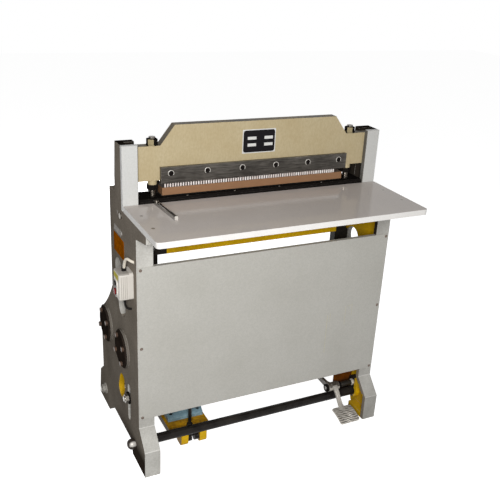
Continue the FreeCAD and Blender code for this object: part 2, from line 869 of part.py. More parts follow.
def eccentric_yokes():
    """Frame round each eccentric, with a neck up to the pull rod. The eccentric stands at its top at rest."""
    yokes = []
    centre_z = shaft_z + throw
    half_window_y = eccentric_radius + throw + yoke_gap_y
    half_window_z = eccentric_radius + yoke_gap_z
    reach_y = half_window_y + yoke_wall
    low = centre_z - half_window_z - yoke_wall
    high = centre_z + half_window_z + yoke_wall
    c = yoke_chamfer
    outline = [(main_y - reach_y + c, low), (main_y + reach_y - c, low), (main_y + reach_y, low + c),
               (main_y + reach_y, high - c), (main_y + reach_y - c, high), (main_y - reach_y + c, high),
               (main_y - reach_y, high - c), (main_y - reach_y, low + c)]
    for x in yokes_x:
        span = (x - yoke_width / 2.0, x + yoke_width / 2.0)
        body = plate_x(outline, span)
        neck = block(span, (rod_y - yoke_neck / 2.0, rod_y + yoke_neck / 2.0), (high - 1.0, yoke_top))
        window = block((span[0] - 1.0, span[1] + 1.0), (main_y - half_window_y, main_y + half_window_y),
                       (centre_z - half_window_z, centre_z + half_window_z))
        yokes.append(join([body, neck]).cut(window))
    return yokes


# Shafts and drive

def eccentric_shaft():
    """Turned from one bar, with a disc set off its axis inside each yoke."""
    pieces = [rod_along_x(journal, (-shaft_half, shaft_half), main_y, shaft_z)]
    for x in yokes_x:
        span = (x - eccentric_width / 2.0, x + eccentric_width / 2.0)
        pieces.append(rod_along_x(eccentric_radius, span, main_y, shaft_z + throw))
    return join(pieces)


def clutch_collar():
    span = (collar_low_x, collar_high_x)
    collar = rod_along_x(collar_radius, span, main_y, shaft_z)
    notch_y = main_y - collar_radius * math.cos(math.radians(20.0))
    notch_z = shaft_z + collar_radius * math.sin(math.radians(20.0))
    notch = block((span[0] - 1.0, span[1] + 1.0), (notch_y - collar_notch, notch_y + collar_notch),
                  (notch_z - collar_notch, notch_z + collar_notch))
    return collar.cut([notch, rod_along_x(journal, (span[0] - 1.0, span[1] + 1.0), main_y, shaft_z)])


def gear_outline(teeth, y, z, first_angle):
    """Straight-flanked teeth, each with a root, two flanks and a flat tip."""
    pitch = gear_module * teeth / 2.0
    step = 2.0 * math.pi / teeth
    half_tooth = step / 4.0 - backlash / (2.0 * pitch)
    lean = gear_module * math.tan(math.radians(20.0)) / pitch
    tip = pitch + 0.95 * gear_module
    root = pitch - 1.25 * gear_module
    points = []
    for i in range(teeth):
        middle = first_angle + i * step
        for radius, offset in ((root, -half_tooth - lean), (tip, -half_tooth + lean),
                               (tip, half_tooth - lean), (root, half_tooth + lean)):
            angle = middle + offset
            points.append((y + radius * math.cos(angle), z + radius * math.sin(angle)))
    return points


def main_gear():
    face = (gear_x - gear_face / 2.0, gear_x + gear_face / 2.0)
    hub = (gear_x - gear_hub_length / 2.0, gear_x + gear_hub_length / 2.0)
    step = 2.0 * math.pi / gear_teeth
    body = plate_x(gear_outline(gear_teeth, main_y, shaft_z, step / 2.0), face)
    body = join([body, rod_along_x(gear_hub, hub, main_y, shaft_z)])
    cuts = [rod_along_x(journal + running_gap, (hub[0] - 1.0, hub[1] + 1.0), main_y, shaft_z)]
    circle = (gear_hub + gear_radius) / 2.0
    for i in range(gear_holes):
        angle = 2.0 * math.pi * i / gear_holes
        cuts.append(rod_along_x(gear_hole, (face[0] - 1.0, face[1] + 1.0), main_y + circle * math.cos(angle),
                                shaft_z + circle * math.sin(angle)))
    return body.cut(cuts)


def pinion():
    face = (gear_x - gear_face / 2.0 - 2.0, gear_x + gear_face / 2.0 + 2.0)
    body = plate_x(gear_outline(pinion_teeth, counter_y, shaft_z, math.pi), face)
    return body.cut(rod_along_x(journal, (face[0] - 1.0, face[1] + 1.0), counter_y, shaft_z))


def countershaft():
    return rod_along_x(journal, (-shaft_half, shaft_half), counter_y, shaft_z)


def groove_xs():
    return [belt_x + (i - (groove_count - 1) / 2.0) * groove_pitch for i in range(groove_count)]


def grooves(radius, y, z):
    """Rings of V section that the belts run in."""
    rings = []
    for x in groove_xs():
        top = belt_top_width / 2.0 + belt_gap
        bottom = belt_bottom_width / 2.0 + belt_gap
        slope = (top - bottom) / belt_height
        floor = radius - belt_height - belt_gap
        rim = radius + 1.0
        corners = [V(x - bottom + slope * belt_gap, y, z + floor), V(x + bottom - slope * belt_gap, y, z + floor),
                   V(x + top + slope, y, z + rim), V(x - top - slope, y, z + rim)]
        face = Part.Face(Part.makePolygon(corners + corners[:1]))
        rings.append(face.revolve(V(0, y, z), V(1, 0, 0), 360.0))
    return rings


def flywheel():
    span = (belt_x - flywheel_width / 2.0, belt_x + flywheel_width / 2.0)
    middle = (belt_x - flywheel_web / 2.0, belt_x + flywheel_web / 2.0)
    rim = rod_along_x(flywheel_radius, span, counter_y, shaft_z)
    rim = rim.cut(rod_along_x(flywheel_radius - flywheel_rim, (span[0] - 1.0, span[1] + 1.0), counter_y, shaft_z))
    disc = rod_along_x(flywheel_radius - flywheel_rim + 1.0, middle, counter_y, shaft_z)
    hub = rod_along_x(flywheel_hub, span, counter_y, shaft_z)
    body = join([rim, disc, hub])
    cuts = [rod_along_x(journal, (span[0] - 1.0, span[1] + 1.0), counter_y, shaft_z)]
    circle = (flywheel_radius - flywheel_rim + flywheel_hub) / 2.0
    for i in range(flywheel_holes):
        angle = 2.0 * math.pi * i / flywheel_holes
        cuts.append(rod_along_x(flywheel_hole, (span[0], span[1]), counter_y + circle * math.cos(angle),
                                shaft_z + circle * math.sin(angle)))
    return body.cut(cuts + grooves(flywheel_radius, counter_y, shaft_z))


def motor_pulley():
    span = (belt_x - flywheel_width / 2.0, belt_x + flywheel_width / 2.0)
    body = rod_along_x(pulley_radius, span, motor_y, motor_z)
    bore = rod_along_x(motor_shaft, (span[0] - 1.0, span[1] + 1.0), motor_y, motor_z)
    return body.cut([bore] + grooves(pulley_radius, motor_y, motor_z))


def drive_belts():
    """Two V-belts, each of two straight runs and the wraps round both pulleys."""
    far = V(0, counter_y, shaft_z)
    near = V(0, motor_y, motor_z)
    line = far - near
    reach = line.Length
    along = V(line)
    along.normalize()
    across = V(0, -along.z, along.y)
    inward = -(flywheel_radius - pulley_radius) / reach
    outward = math.sqrt(1.0 - inward * inward)
    run = math.sqrt(reach * reach - (flywheel_radius - pulley_radius) ** 2)
    belts = []
    for x in groove_xs():
        pieces = []
        normals = [along * inward + across * outward, along * inward - across * outward]
        for normal, centre, radius in ((normals[0], near, pulley_radius), (normals[1], near, pulley_radius)):
            section = belt_section(x, centre, normal, radius)
            heading = V(normal.cross(V(1, 0, 0)))
            if heading.dot(along) < 0:
                heading = heading * -1.0
            pieces.append(section.extrude(heading * run))
        front_angle = math.degrees(math.acos(max(-1.0, min(1.0, normals[0].dot(along)))))
        far_wrap = 2.0 * front_angle
        near_wrap = 360.0 - far_wrap
        start_far = belt_section(x, far, normals[0], flywheel_radius)
        pieces.append(start_far.revolve(far, turn_towards(normals[0], along), far_wrap))
        start_near = belt_section(x, near, normals[0], pulley_radius)
        pieces.append(start_near.revolve(near, turn_towards(normals[0], along * -1.0), near_wrap))
        belts.append(join(pieces))
    return belts


def turn_towards(normal, goal):
    """Axis along x that turns the first direction towards the second."""
    axis = normal.cross(goal)
    return V(1, 0, 0) if axis.x > 0 else V(-1, 0, 0)


def belt_section(x, centre, normal, radius):
    top = radius
    bottom = radius - belt_height
    corners = [V(x - belt_bottom_width / 2.0, 0, 0) + centre + normal * bottom,
               V(x + belt_bottom_width / 2.0, 0, 0) + centre + normal * bottom,
               V(x + belt_top_width / 2.0, 0, 0) + centre + normal * top,
               V(x - belt_top_width / 2.0, 0, 0) + centre + normal * top]
    return Part.Face(Part.makePolygon(corners + corners[:1]))


# Motor and its tray

motor_low_x = motor_centre_x - motor_foot_length / 2.0 - 20.0
motor_high_x = motor_centre_x + motor_foot_length / 2.0 + 45.0


def motor_bolt_places():
    return [(motor_centre_x + i * motor_bolt_span_x / 2.0, motor_y + j * motor_bolt_span_y / 2.0)
            for i in (-1, 1) for j in (-1, 1)]


def motor_body():
    points = []
    for i in range(fin_count):
        middle = 2.0 * math.pi * i / fin_count
        step = 2.0 * math.pi / fin_count
        for radius, part in ((motor_radius, -0.32), (motor_radius + fin_height, -0.2),
                             (motor_radius + fin_height, 0.2), (motor_radius, 0.32)):
            angle = middle + part * step
            points.append((motor_y + radius * math.cos(angle), motor_z + radius * math.sin(angle)))
    body = plate_x(points, (motor_low_x, motor_high_x))
    end = rod_along_x(motor_radius + 2.0, (motor_low_x - 10.0, motor_low_x + 6.0), motor_y, motor_z)
    nose = rod_along_x(28.0, (motor_low_x - 14.0, motor_low_x), motor_y, motor_z)
    foot_x = (motor_centre_x - motor_foot_length / 2.0, motor_centre_x + motor_foot_length / 2.0)
    reach = motor_foot_width / 2.0
    foot = plate_x([(motor_y - reach, tray_top), (motor_y + reach, tray_top),
                    (motor_y + reach, tray_top + motor_foot), (motor_y + 52.0, tray_top + 34.0),
                    (motor_y - 52.0, tray_top + 34.0), (motor_y - reach, tray_top + motor_foot)], foot_x)
    cuts = [rod_along_x(motor_shaft + 0.5, (motor_low_x - 20.0, motor_low_x + 30.0), motor_y, motor_z),
            block((foot_x[0] - 1.0, foot_x[1] + 1.0), (motor_y - 40.0, motor_y + 40.0), (tray_top - 1.0, tray_top + 5.0))]
    for x, y in motor_bolt_places():
        cuts.append(rod_along_z(4.0, x, y, (tray_top - 1.0, tray_top + motor_foot + 40.0)))
        cuts.append(rod_along_z(9.0, x, y, (tray_top + motor_foot, tray_top + motor_foot + 12.0)))
    return join([body, end, nose, foot]).cut(cuts)


def motor_fan_cover():
    span = (motor_high_x, motor_high_x + fan_cover_length)
    cover = rod_along_x(motor_radius + fin_height, span, motor_y, motor_z)
    rim = [e for e in cover.Edges if abs(e.BoundBox.XMin - span[1]) < 0.01 and e.Length > motor_radius]
    cover = cover.makeFillet(10.0, rim)
    outer = motor_radius + fin_height
    cover = cover.cut([rod_along_x(outer - 2.0, (span[0] - 1.0, span[1] - 12.0), motor_y, motor_z),
                       rod_along_x(outer - 10.0, (span[0] - 1.0, span[1] - 2.0), motor_y, motor_z)])
    slots = []
    end = (span[1] - 4.0, span[1] + 1.0)
    for radius in fan_slot_radii:
        ring = rod_along_x(radius + fan_slot / 2.0, end, motor_y, motor_z)
        slots.append(ring.cut(rod_along_x(radius - fan_slot / 2.0, end, motor_y, motor_z)))
    wide = (-outer, outer)
    thin = (-fan_spoke / 2.0, fan_spoke / 2.0)
    spokes = [block((end[0] - 1.0, end[1] + 1.0), (motor_y + y[0], motor_y + y[1]), (motor_z + z[0], motor_z + z[1]))
              for y, z in ((wide, thin), (thin, wide))]
    return cover.cut([s.cut(spokes) for s in slots])


terminal_half = 40.0
terminal_low = motor_z + motor_radius + fin_height - 4.0
terminal_high = terminal_low + 40.0


def terminal_box():
    box = block((motor_centre_x - terminal_half, motor_centre_x + terminal_half),
                (motor_y - terminal_half, motor_y + terminal_half), (terminal_low, terminal_high))
    box = box.makeFillet(4.0, [e for e in box.Edges if e.BoundBox.ZMin > terminal_low + 1.0])
    x, y, z = motor_lead_route()[-1]
    entry = rod_along_x(motor_lead + 3.0, (x - 8.0, x + 1.0), y, z)
    cuts = [rod_along_x(motor_radius + fin_height + 0.2, (-half, half), motor_y, motor_z),
            rod_along_x(motor_lead, (x - 10.0, x), y, z)]
    return join([box, entry]).cut(cuts)


def motor_tray():
    plate = block((tray_left, tray_right), (tray_front, tray_back), (tray_top - tray_plate, tray_top))
    pieces = [plate]
    for x in ((tray_left, tray_left + tray_wall), (tray_right - tray_wall, tray_right)):
        skirt = plate_x([(tray_front + 18.0, tray_top - tray_plate), (tray_front + 34.0, tray_top - tray_skirt),
                         (tray_back - 20.0, tray_top - tray_skirt), (tray_back, tray_top - tray_plate),
                         (tray_back, tray_top - 1.0), (tray_front + 18.0, tray_top - 1.0)], x)
        pieces.append(skirt)
    for x in ((tray_left, tray_left + 16.0), (tray_right - 16.0, tray_right)):
        pieces.append(rod_along_x(tray_eye_radius, x, rear_rod[0], rear_rod[1]))
        pieces.append(block(x, (tray_back - 30.0, rear_rod[0]), (tray_top - tray_plate, tray_top + 20.0)))
    cuts = [rod_along_x(tie_radius, (tray_left - 1.0, tray_right + 1.0), rear_rod[0], rear_rod[1]),
            rod_along_z(screw_radius + 0.5, screw_x, screw_y, (tray_top - 20.0, tray_top + 10.0))]
    for x, y in motor_bolt_places():
        cuts.append(rod_along_z(4.0, x, y, (tray_top - 20.0, tray_top + 1.0)))
    return join(pieces).cut(cuts)


def motor_bolts():
    bolts = []
    for x, y in motor_bolt_places():
        seat = tray_top + motor_foot
        shank = rod_along_z(4.0, x, y, (tray_top - tray_plate - 8.0, seat + 1.0))
        head = prism_hex(13.0, V(x, y, seat), V(0, 0, 1), 5.5)
        nut = prism_hex(13.0, V(x, y, tray_top - tray_plate - 6.0), V(0, 0, 1), 6.0)
        bolts.append(join([shank, head, nut]))
    return bolts


def tension_lugs():
    lugs = []
    high = bar_z - 2.0
    outline = [(bar_y - 12.0, 8.0), (screw_y + 10.0, 8.0), (screw_y + 14.0, 12.0), (screw_y + 14.0, 38.0),
               (bar_y + bar_radius, tray_top - tray_plate - 3.0), (bar_y + bar_radius, high),
               (bar_y - 12.0, high)]
    bar = rod_along_x(bar_radius, (-half, half), bar_y, bar_z)
    for side in (-1.0, 1.0):
        near = screw_x + side * lug_gap / 2.0
        far = near + side * lug_width
        span = (min(near, far), max(near, far))
        lug = plate_x(outline, span).cut([bar, rod_along_x(eye_pin, (span[0] - 1.0, span[1] + 1.0), screw_y, eye_z)])
        lugs.append(lug)
    reach = lug_gap / 2.0 + lug_width
    lugs.append(rod_along_x(eye_pin, (screw_x - reach - 3.0, screw_x + reach + 3.0), screw_y, eye_z))
    return lugs


def tension_screw():
    span = (screw_x - eye_half, screw_x + eye_half)
    eye = rod_along_x(eye_radius, span, screw_y, eye_z)
    stem = rod_along_z(screw_radius, screw_x, screw_y, (eye_z, screw_top))
    screw = join([eye, stem]).cut(rod_along_x(eye_pin, (span[0] - 1.0, span[1] + 1.0), screw_y, eye_z))
    bore = rod_along_z(screw_radius, screw_x, screw_y, (eye_z, screw_top))
    nuts = [prism_hex(screw_nut_across, V(screw_x, screw_y, z), V(0, 0, 1), screw_nut).cut(bore)
            for z in (tray_top, tray_top - tray_plate - screw_nut)]
    return [screw] + nuts


def front_cross_bar():
    bar = rod_along_x(bar_radius, (-inner, inner), bar_y, bar_z)
    reach = half + bar_nut - bar_nut_wall
    end = rod_along_x(bar_end_radius, (-reach, reach), bar_y, bar_z)
    return join([bar, end])


def cross_bar_nuts():
    nut = rod_along_x(bar_nut_radius, (-half - bar_nut, -half), bar_y, bar_z)
    rim = [e for e in nut.Edges if abs(e.BoundBox.XMax - nut.BoundBox.XMin) < 0.01]
    nut = nut.makeFillet(6.0, rim)
    bore = rod_along_x(bar_end_radius, (-half - bar_nut + bar_nut_wall, -half + 1.0), bar_y, bar_z)
    return both_sides([nut.cut(bore)])


def tie_rods():
    rods = []
    for y, z in (middle_rod, rear_rod):
        thick = rod_along_x(tie_radius, (-inner, inner), y, z)
        reach = half + tie_washer + tie_nut + 4.0
        rods.append(join([thick, rod_along_x(tie_end_radius, (-reach, reach), y, z)]))
    return rods


def tie_rod_nuts():
    nuts = []
    for y, z in (middle_rod, rear_rod):
        bore = rod_along_x(tie_end_radius, (-half - 60.0, -half + 1.0), y, z)
        washer = rod_along_x(tie_washer_radius, (-half - tie_washer, -half), y, z)
        nut = prism_hex(tie_nut_across, V(-half - tie_washer, y, z), V(-1, 0, 0), tie_nut)
        nuts += [washer.cut(bore), nut.cut(bore)]
    return both_sides(nuts)


# Pedal and trip linkage

def pedal_bracket():
    span = (inner - bracket_thickness, inner)
    plate = slot_x((pedal_y, pedal_z), (bar_y, bar_z), 26.0, span)
    cuts = [rod_along_x(pedal_pin, (span[0] - 1.0, span[1] + 1.0), pedal_y, pedal_z),
            rod_along_x(bar_radius, (span[0] - 1.0, span[1] + 1.0), bar_y, bar_z)]
    return plate.cut(cuts)


def pedal_pivot():
    low = pedal_hub_x[0] - pedal_hub_gap
    high = pedal_hub_x[1] + pedal_hub_gap
    pin = rod_along_x(pedal_pin, (low - 1.0, inner), pedal_y, pedal_z)
    head = rod_along_x(pedal_pin_head, (low - 6.0, low), pedal_y, pedal_z)
    stop = rod_along_x(pedal_collar, (high, high + 8.0), pedal_y, pedal_z)
    return join([pin, head, stop])


def foot_pedal():
    """One casting: hub, front arm with ribbed foot plate, rear arm for the link."""
    hub = rod_along_x(pedal_hub, pedal_hub_x, pedal_y, pedal_z)
    arm_span = (arm_x - arm_width / 2.0, arm_x + arm_width / 2.0)
    arm = plate_x([(pedal_y, pedal_z + pedal_hub), (pedal_y - 20.0, pedal_z + 8.0),
                   (plate_back[0] - 6.0, plate_back[1] + 4.0), (plate_back[0] - 26.0, plate_back[1] - 8.0),
                   (plate_back[0] + 6.0, plate_back[1] - 12.0), (pedal_y - pedal_hub + 3.0, pedal_z - 8.0)], arm_span)
    slope = math.atan2(plate_back[1] - plate_front[1], plate_back[0] - plate_front[0])
    length = math.hypot(plate_back[1] - plate_front[1], plate_back[0] - plate_front[0])
    plate = block((arm_x - plate_width / 2.0, arm_x + plate_width / 2.0), (-length, 0.0), (-plate_thickness, 0.0))
    corners = [e for e in plate.Edges if e.BoundBox.ZLength > plate_thickness - 0.1]
    plate = plate.makeFillet(8.0, corners)
    ribs = []
    pitch = (length - 10.0) / plate_ribs
    for i in range(plate_ribs):
        y = -length + 8.0 + i * pitch
        ribs.append(block((arm_x - plate_width / 2.0 + 5.0, arm_x + plate_width / 2.0 - 5.0),
                          (y, y + pitch * 0.45), (-1.0, plate_rib)))
    lip = block((arm_x - plate_width / 2.0 + 8.0, arm_x + plate_width / 2.0 - 8.0), (-length, -length + 5.0),
                (-plate_thickness - 6.0, -1.0))
    tread = join([plate, lip] + ribs)
    tread.rotate(V(0, 0, 0), V(1, 0, 0), math.degrees(slope))
    tread.translate(V(0, plate_back[0], plate_back[1]))
    rear_span = (link_x - 8.0, link_x + 8.0)
    rear = slot_x((pedal_y, pedal_z), (pedal_y + rear_arm, pedal_z), 11.0, rear_span)
    cuts = [rod_along_x(pedal_pin + running_gap, (pedal_hub_x[0] - 1.0, pedal_hub_x[1] + 1.0), pedal_y, pedal_z),
            rod_along_x(link_pin + running_gap, (rear_span[0] - 1.0, rear_span[1] + 1.0),
                        pedal_y + rear_arm, pedal_z)]
    return join([hub, arm, tread, rear]).cut(cuts)


def trip_link():
    """Flat bar beside the two arms, with a pin at each end."""
    y = pedal_y + rear_arm
    low = pedal_z
    high = middle_rod[1]
    near = link_x + 8.0 + 1.0
    bar = slot_x((y, low), (y, high), link_width / 2.0, (near, near + link_thickness))
    pins = [rod_along_x(link_pin, (link_x - 10.0, near + 1.0), y, z) for z in (low, high)]
    return join([bar] + pins)


def trip_lever():
    """Bell crank on the middle tie rod. The tip stands just clear of the clutch collar's rim."""
    y, z = middle_rod
    hub = rod_along_x(lever_hub, lever_x, y, z)
    rear_span = (link_x - 8.0, link_x + 8.0)
    rear = slot_x((y, z), (y + lever_arm, z), 10.0, rear_span)
    front = slot_x((y, z), (spring_pin_y, spring_pin_z), 7.0, (spring_x - 12.0, spring_x - 4.0))
    peg = rod_along_x(lever_peg, (spring_x - 6.0, spring_x + 5.0), spring_pin_y, spring_pin_z)
    up_span = (collar_low_x + 6.0, collar_high_x - 6.0)
    upright = plate_x([(y - 12.0, z), (y + 12.0, z), (lever_tip[0] + 3.0, lever_tip[1] - 8.0),
                       (lever_tip[0] - 4.0, lever_tip[1]), (lever_tip[0] - 14.0, lever_tip[1] - 6.0)], up_span)
    cuts = [rod_along_x(tie_radius + running_gap, (lever_x[0] - 1.0, lever_x[1] + 1.0), y, z),
            rod_along_x(link_pin + open_pin_gap, (rear_span[0] - 1.0, rear_span[1] + 1.0), y + lever_arm, z)]
    return join([hub, rear, front, peg, upright]).cut(cuts)


def spring_post_bar():
    return rod_along_x(spring_post, (spring_x - 4.0, inner), spring_pin_y, spring_post_z)


def return_spring():
    """Tension spring from the lever's peg up to its post, bent from one six-sided wire."""
    low = spring_pin_z + 10.0
    high = spring_post_z - spring_post - 3.0
    per_turn = 14
    count = per_turn * spring_turns
    points = [V(spring_x, spring_pin_y - lever_peg, spring_pin_z),
              V(spring_x, spring_pin_y - spring_radius, spring_pin_z)]
    for i in range(count + 1):
        angle = 2.0 * math.pi * i / per_turn
        points.append(V(spring_x + spring_radius * math.sin(angle), spring_pin_y - spring_radius * math.cos(angle),
                        low + (high - low) * i / count))
    points += [V(spring_x, spring_pin_y - spring_radius, spring_post_z),
               V(spring_x, spring_pin_y - spring_post, spring_post_z)]
    ring = []
    for i in range(6):
        angle = math.radians(60.0 * i)
        ring.append(points[0] + V(spring_wire * math.cos(angle), 0, spring_wire * math.sin(angle)))
    profile = Part.makePolygon(ring + ring[:1])
    return Part.makePolygon(points).makePipeShell([profile], True, False, 1)


# Switch box

supply_hole = (24.0, 732.0)
motor_hole = (54.0, 566.0)
inlet_x = -inner + inlet_from_wall
inlet_z = supply_hole[1] - 10.0
lead_x = -half - lead_from_wall


def switch_base():
    base = block((-half - box_base, -half), (box_front, box_front + box_width), (box_low, box_low + box_height))
    edges = [e for e in base.Edges if e.BoundBox.XLength > box_base - 0.1]
    return base.makeFillet(box_corner, edges)


def switch_cover():
    face = -half - box_depth
    cover = block((face, -half - box_base), (box_front, box_front + box_width), (box_low, box_low + box_height))
    edges = [e for e in cover.Edges if e.BoundBox.XLength > box_depth - box_base - 0.1]
    cover = cover.makeFillet(box_corner, edges)
    middle = box_front + box_width / 2.0
    rim = slot_x((middle, bezel_z - bezel_half_height + bezel_half_width),
                 (middle, bezel_z + bezel_half_height - bezel_half_width), bezel_half_width, (face - bezel, face + 1.0))
    cover = join([cover, rim])
    cuts = []
    for z, radius in ((start_z, start_radius), (stop_z, stop_radius)):
        cuts.append(rod_along_x(radius + button_gap, (face - bezel - 1.0, face - bezel + button_seat + 4.0), middle, z))
    cuts.append(rod_along_z(supply_lead, lead_x, middle, (box_low + box_height - 12.0, box_low + box_height + 1.0)))
    cuts.append(rod_along_z(motor_lead, lead_x, middle, (box_low - 1.0, box_low + 12.0)))
    return cover.cut(cuts)


def button(z, radius):
    middle = box_front + box_width / 2.0
    face = -half - box_depth - bezel
    cap = rod_along_x(radius, (face - button_proud, face + button_seat), middle, z)
    rim = [e for e in cap.Edges if abs(e.BoundBox.XMax - cap.BoundBox.XMin) < 0.01]
    return cap.makeFillet(1.5, rim)


def switch_glands():
    middle = box_front + box_width / 2.0
    top = rod_along_z(gland_radius, lead_x, middle, (box_low + box_height, box_low + box_height + gland))
    low = rod_along_z(gland_radius - 1.5, lead_x, middle, (box_low - gland, box_low))
    top = top.cut(rod_along_z(supply_lead, lead_x, middle, (box_low, box_low + box_height + 2.0 * gland)))
    low = low.cut(rod_along_z(motor_lead, lead_x, middle, (box_low - 2.0 * gland, box_low + 1.0)))
    return [top, low]


def lead(points, radius):
    """Round lead along straight runs joined by arcs as large as the runs allow."""
    corners = [V(*p) for p in points]
    edges = []
    bends = []
    start = corners[0]
    for i in range(1, len(corners) - 1):
        before = corners[i] - corners[i - 1]
        after = corners[i + 1] - corners[i]
        turn = before.getAngle(after)
        bend = 0.45 * min(before.Length, after.Length) / math.tan(turn / 2.0)
        bends.append(round(bend, 1))
        cut = bend * math.tan(turn / 2.0)
        before.normalize()
        after.normalize()
        first = corners[i] - before * cut
        last = corners[i] + after * cut
        inside = after - before
        inside.normalize()
        rise = bend / math.cos(turn / 2.0) - bend
        edges.append(Part.LineSegment(start, first).toShape())
        edges.append(Part.Arc(first, corners[i] + inside * rise, last).toShape())
        start = last
    edges.append(Part.LineSegment(start, corners[-1]).toShape())
    path = Part.Wire(edges)
    heading = corners[1] - corners[0]
    ring = Part.Wire([Part.makeCircle(radius, corners[0], heading)])
    tube = path.makePipeShell([ring], True, True)
    print("lead", radius, "bends", bends, "volume ratio", tube.Volume / (math.pi * radius ** 2 * path.Length))
    return tube


def supply_lead_route():
    """Up out of the top gland, over into the frame and back along it to the inlet box."""
    middle = box_front + box_width / 2.0
    y, z = supply_hole
    return [(lead_x, middle, box_low + box_height), (lead_x, middle, z - 14.0), (lead_x + 5.0, y + 16.0, z + 4.0),
            (-half - 6.0, y, z), (-inner + 10.0, y, z), (-inner + 24.0, y + 14.0, z - 1.0),
            (-inner + 26.0, y + 50.0, z - 4.0), (-inner + 25.0, y + 100.0, z - 8.0),
            (inlet_x, inlet_y[0] - 38.0, inlet_z), (inlet_x, inlet_y[0], inlet_z)]


def motor_lead_route():
    """Down out of the lower gland, through the frame, down inside it and across to the motor."""
    middle = box_front + box_width / 2.0
    y, z = motor_hole
    end_y = motor_y - 21.5
    end_z = terminal_low + 18.0
    box_x = motor_centre_x - terminal_half
    return [(lead_x, middle, box_low), (lead_x, middle, z + 21.0), (lead_x + 4.0, middle - 2.0, z + 5.0),
            (-half - 7.0, y, z), (-inner + 10.0, y, z), (-inner + 20.0, y - 1.0, z - 10.0),
            (-inner + 26.0, y - 2.0, z - 38.0), (-inner + 25.0, y - 3.0, z - 88.0),
            (-inner + 27.0, y - 5.0, z - 143.0), (-inner + 25.0, y - 4.0, z - 203.0),
            (-inner + 27.0, y - 1.0, z - 258.0), (-inner + 32.0, y + 14.0, z - 301.0),
            (-inner + 52.0, y + 42.0, end_z + 9.0), (-inner + 85.0, y + 74.0, end_z + 1.0),
            (box_x - 45.0, end_y - 23.0, end_z), (box_x - 20.0, end_y, end_z), (box_x, end_y, end_z)]


inlet_y = (210.0, 250.0)


def supply_inlet():
    box = block((-inner, -inner + inlet_depth), inlet_y, (inlet_z - inlet_half, inlet_z + inlet_half))
    box = box.makeFillet(3.0, [e for e in box.Edges if e.BoundBox.XMin > -inner + 10.0])
    gland_part = rod_along_y(gland_radius, inlet_x, (inlet_y[1], inlet_y[1] + gland), inlet_z)
    bore = rod_along_y(supply_lead, inlet_x, (inlet_y[1] - gland, inlet_y[1] + 2.0 * gland), inlet_z)
    return join([box, gland_part]).cut(bore)


# Side guide

def side_guide():
    z = table_top_z + guide_rest_gap
    x, y = guide_pivot
    bar = block((x - guide_width / 2.0, x + guide_width / 2.0), (y + guide_tail - guide_length, y + guide_tail),
                (z, z + guide_height))
    groove = block((x - guide_groove / 2.0, x + guide_groove / 2.0),
                   (y + guide_tail - guide_length + 10.0, y + guide_tail + 1.0),
                   (z + guide_height - guide_groove_depth, z + guide_height + 1.0))
    bore = rod_along_z(guide_screw + running_gap, x, y, (z - 1.0, z + guide_height + 1.0))
    bar = bar.cut([groove, bore])
    bar.rotate(V(x, y, 0), V(0, 0, 1), guide_angle)
    return bar


def guide_pivot_screw():
    x, y = guide_pivot
    top = table_top_z + 2.0 * guide_rest_gap + guide_height
    shank = rod_along_z(guide_screw, x, y, (table_under + 6.0, top + 1.0))
    head = rod_along_z(6.0, x, y, (top, top + 3.0))
    return join([shank, head])


# Placing the model: the middle of its box stands over the origin

left_most = half + box_depth + bezel + button_proud
right_most = half + boss_proud + cap_thickness + cap_head
place = V((left_most - right_most) / 2.0, -(table_front + foot_back_y) / 2.0, 0)


def save(name, shapes):
    if not isinstance(shapes, list):
        shapes = [shapes]
    solids = []
    for shape in shapes:
        solids += shape.Solids
    result = solids[0] if len(solids) == 1 else Part.makeCompound(solids)
    result.translate(place)
    result.exportStep("parts/" + name + ".step")
    print(name, len(solids), "solids", round(result.Volume / 1000.0, 1), "cm3")


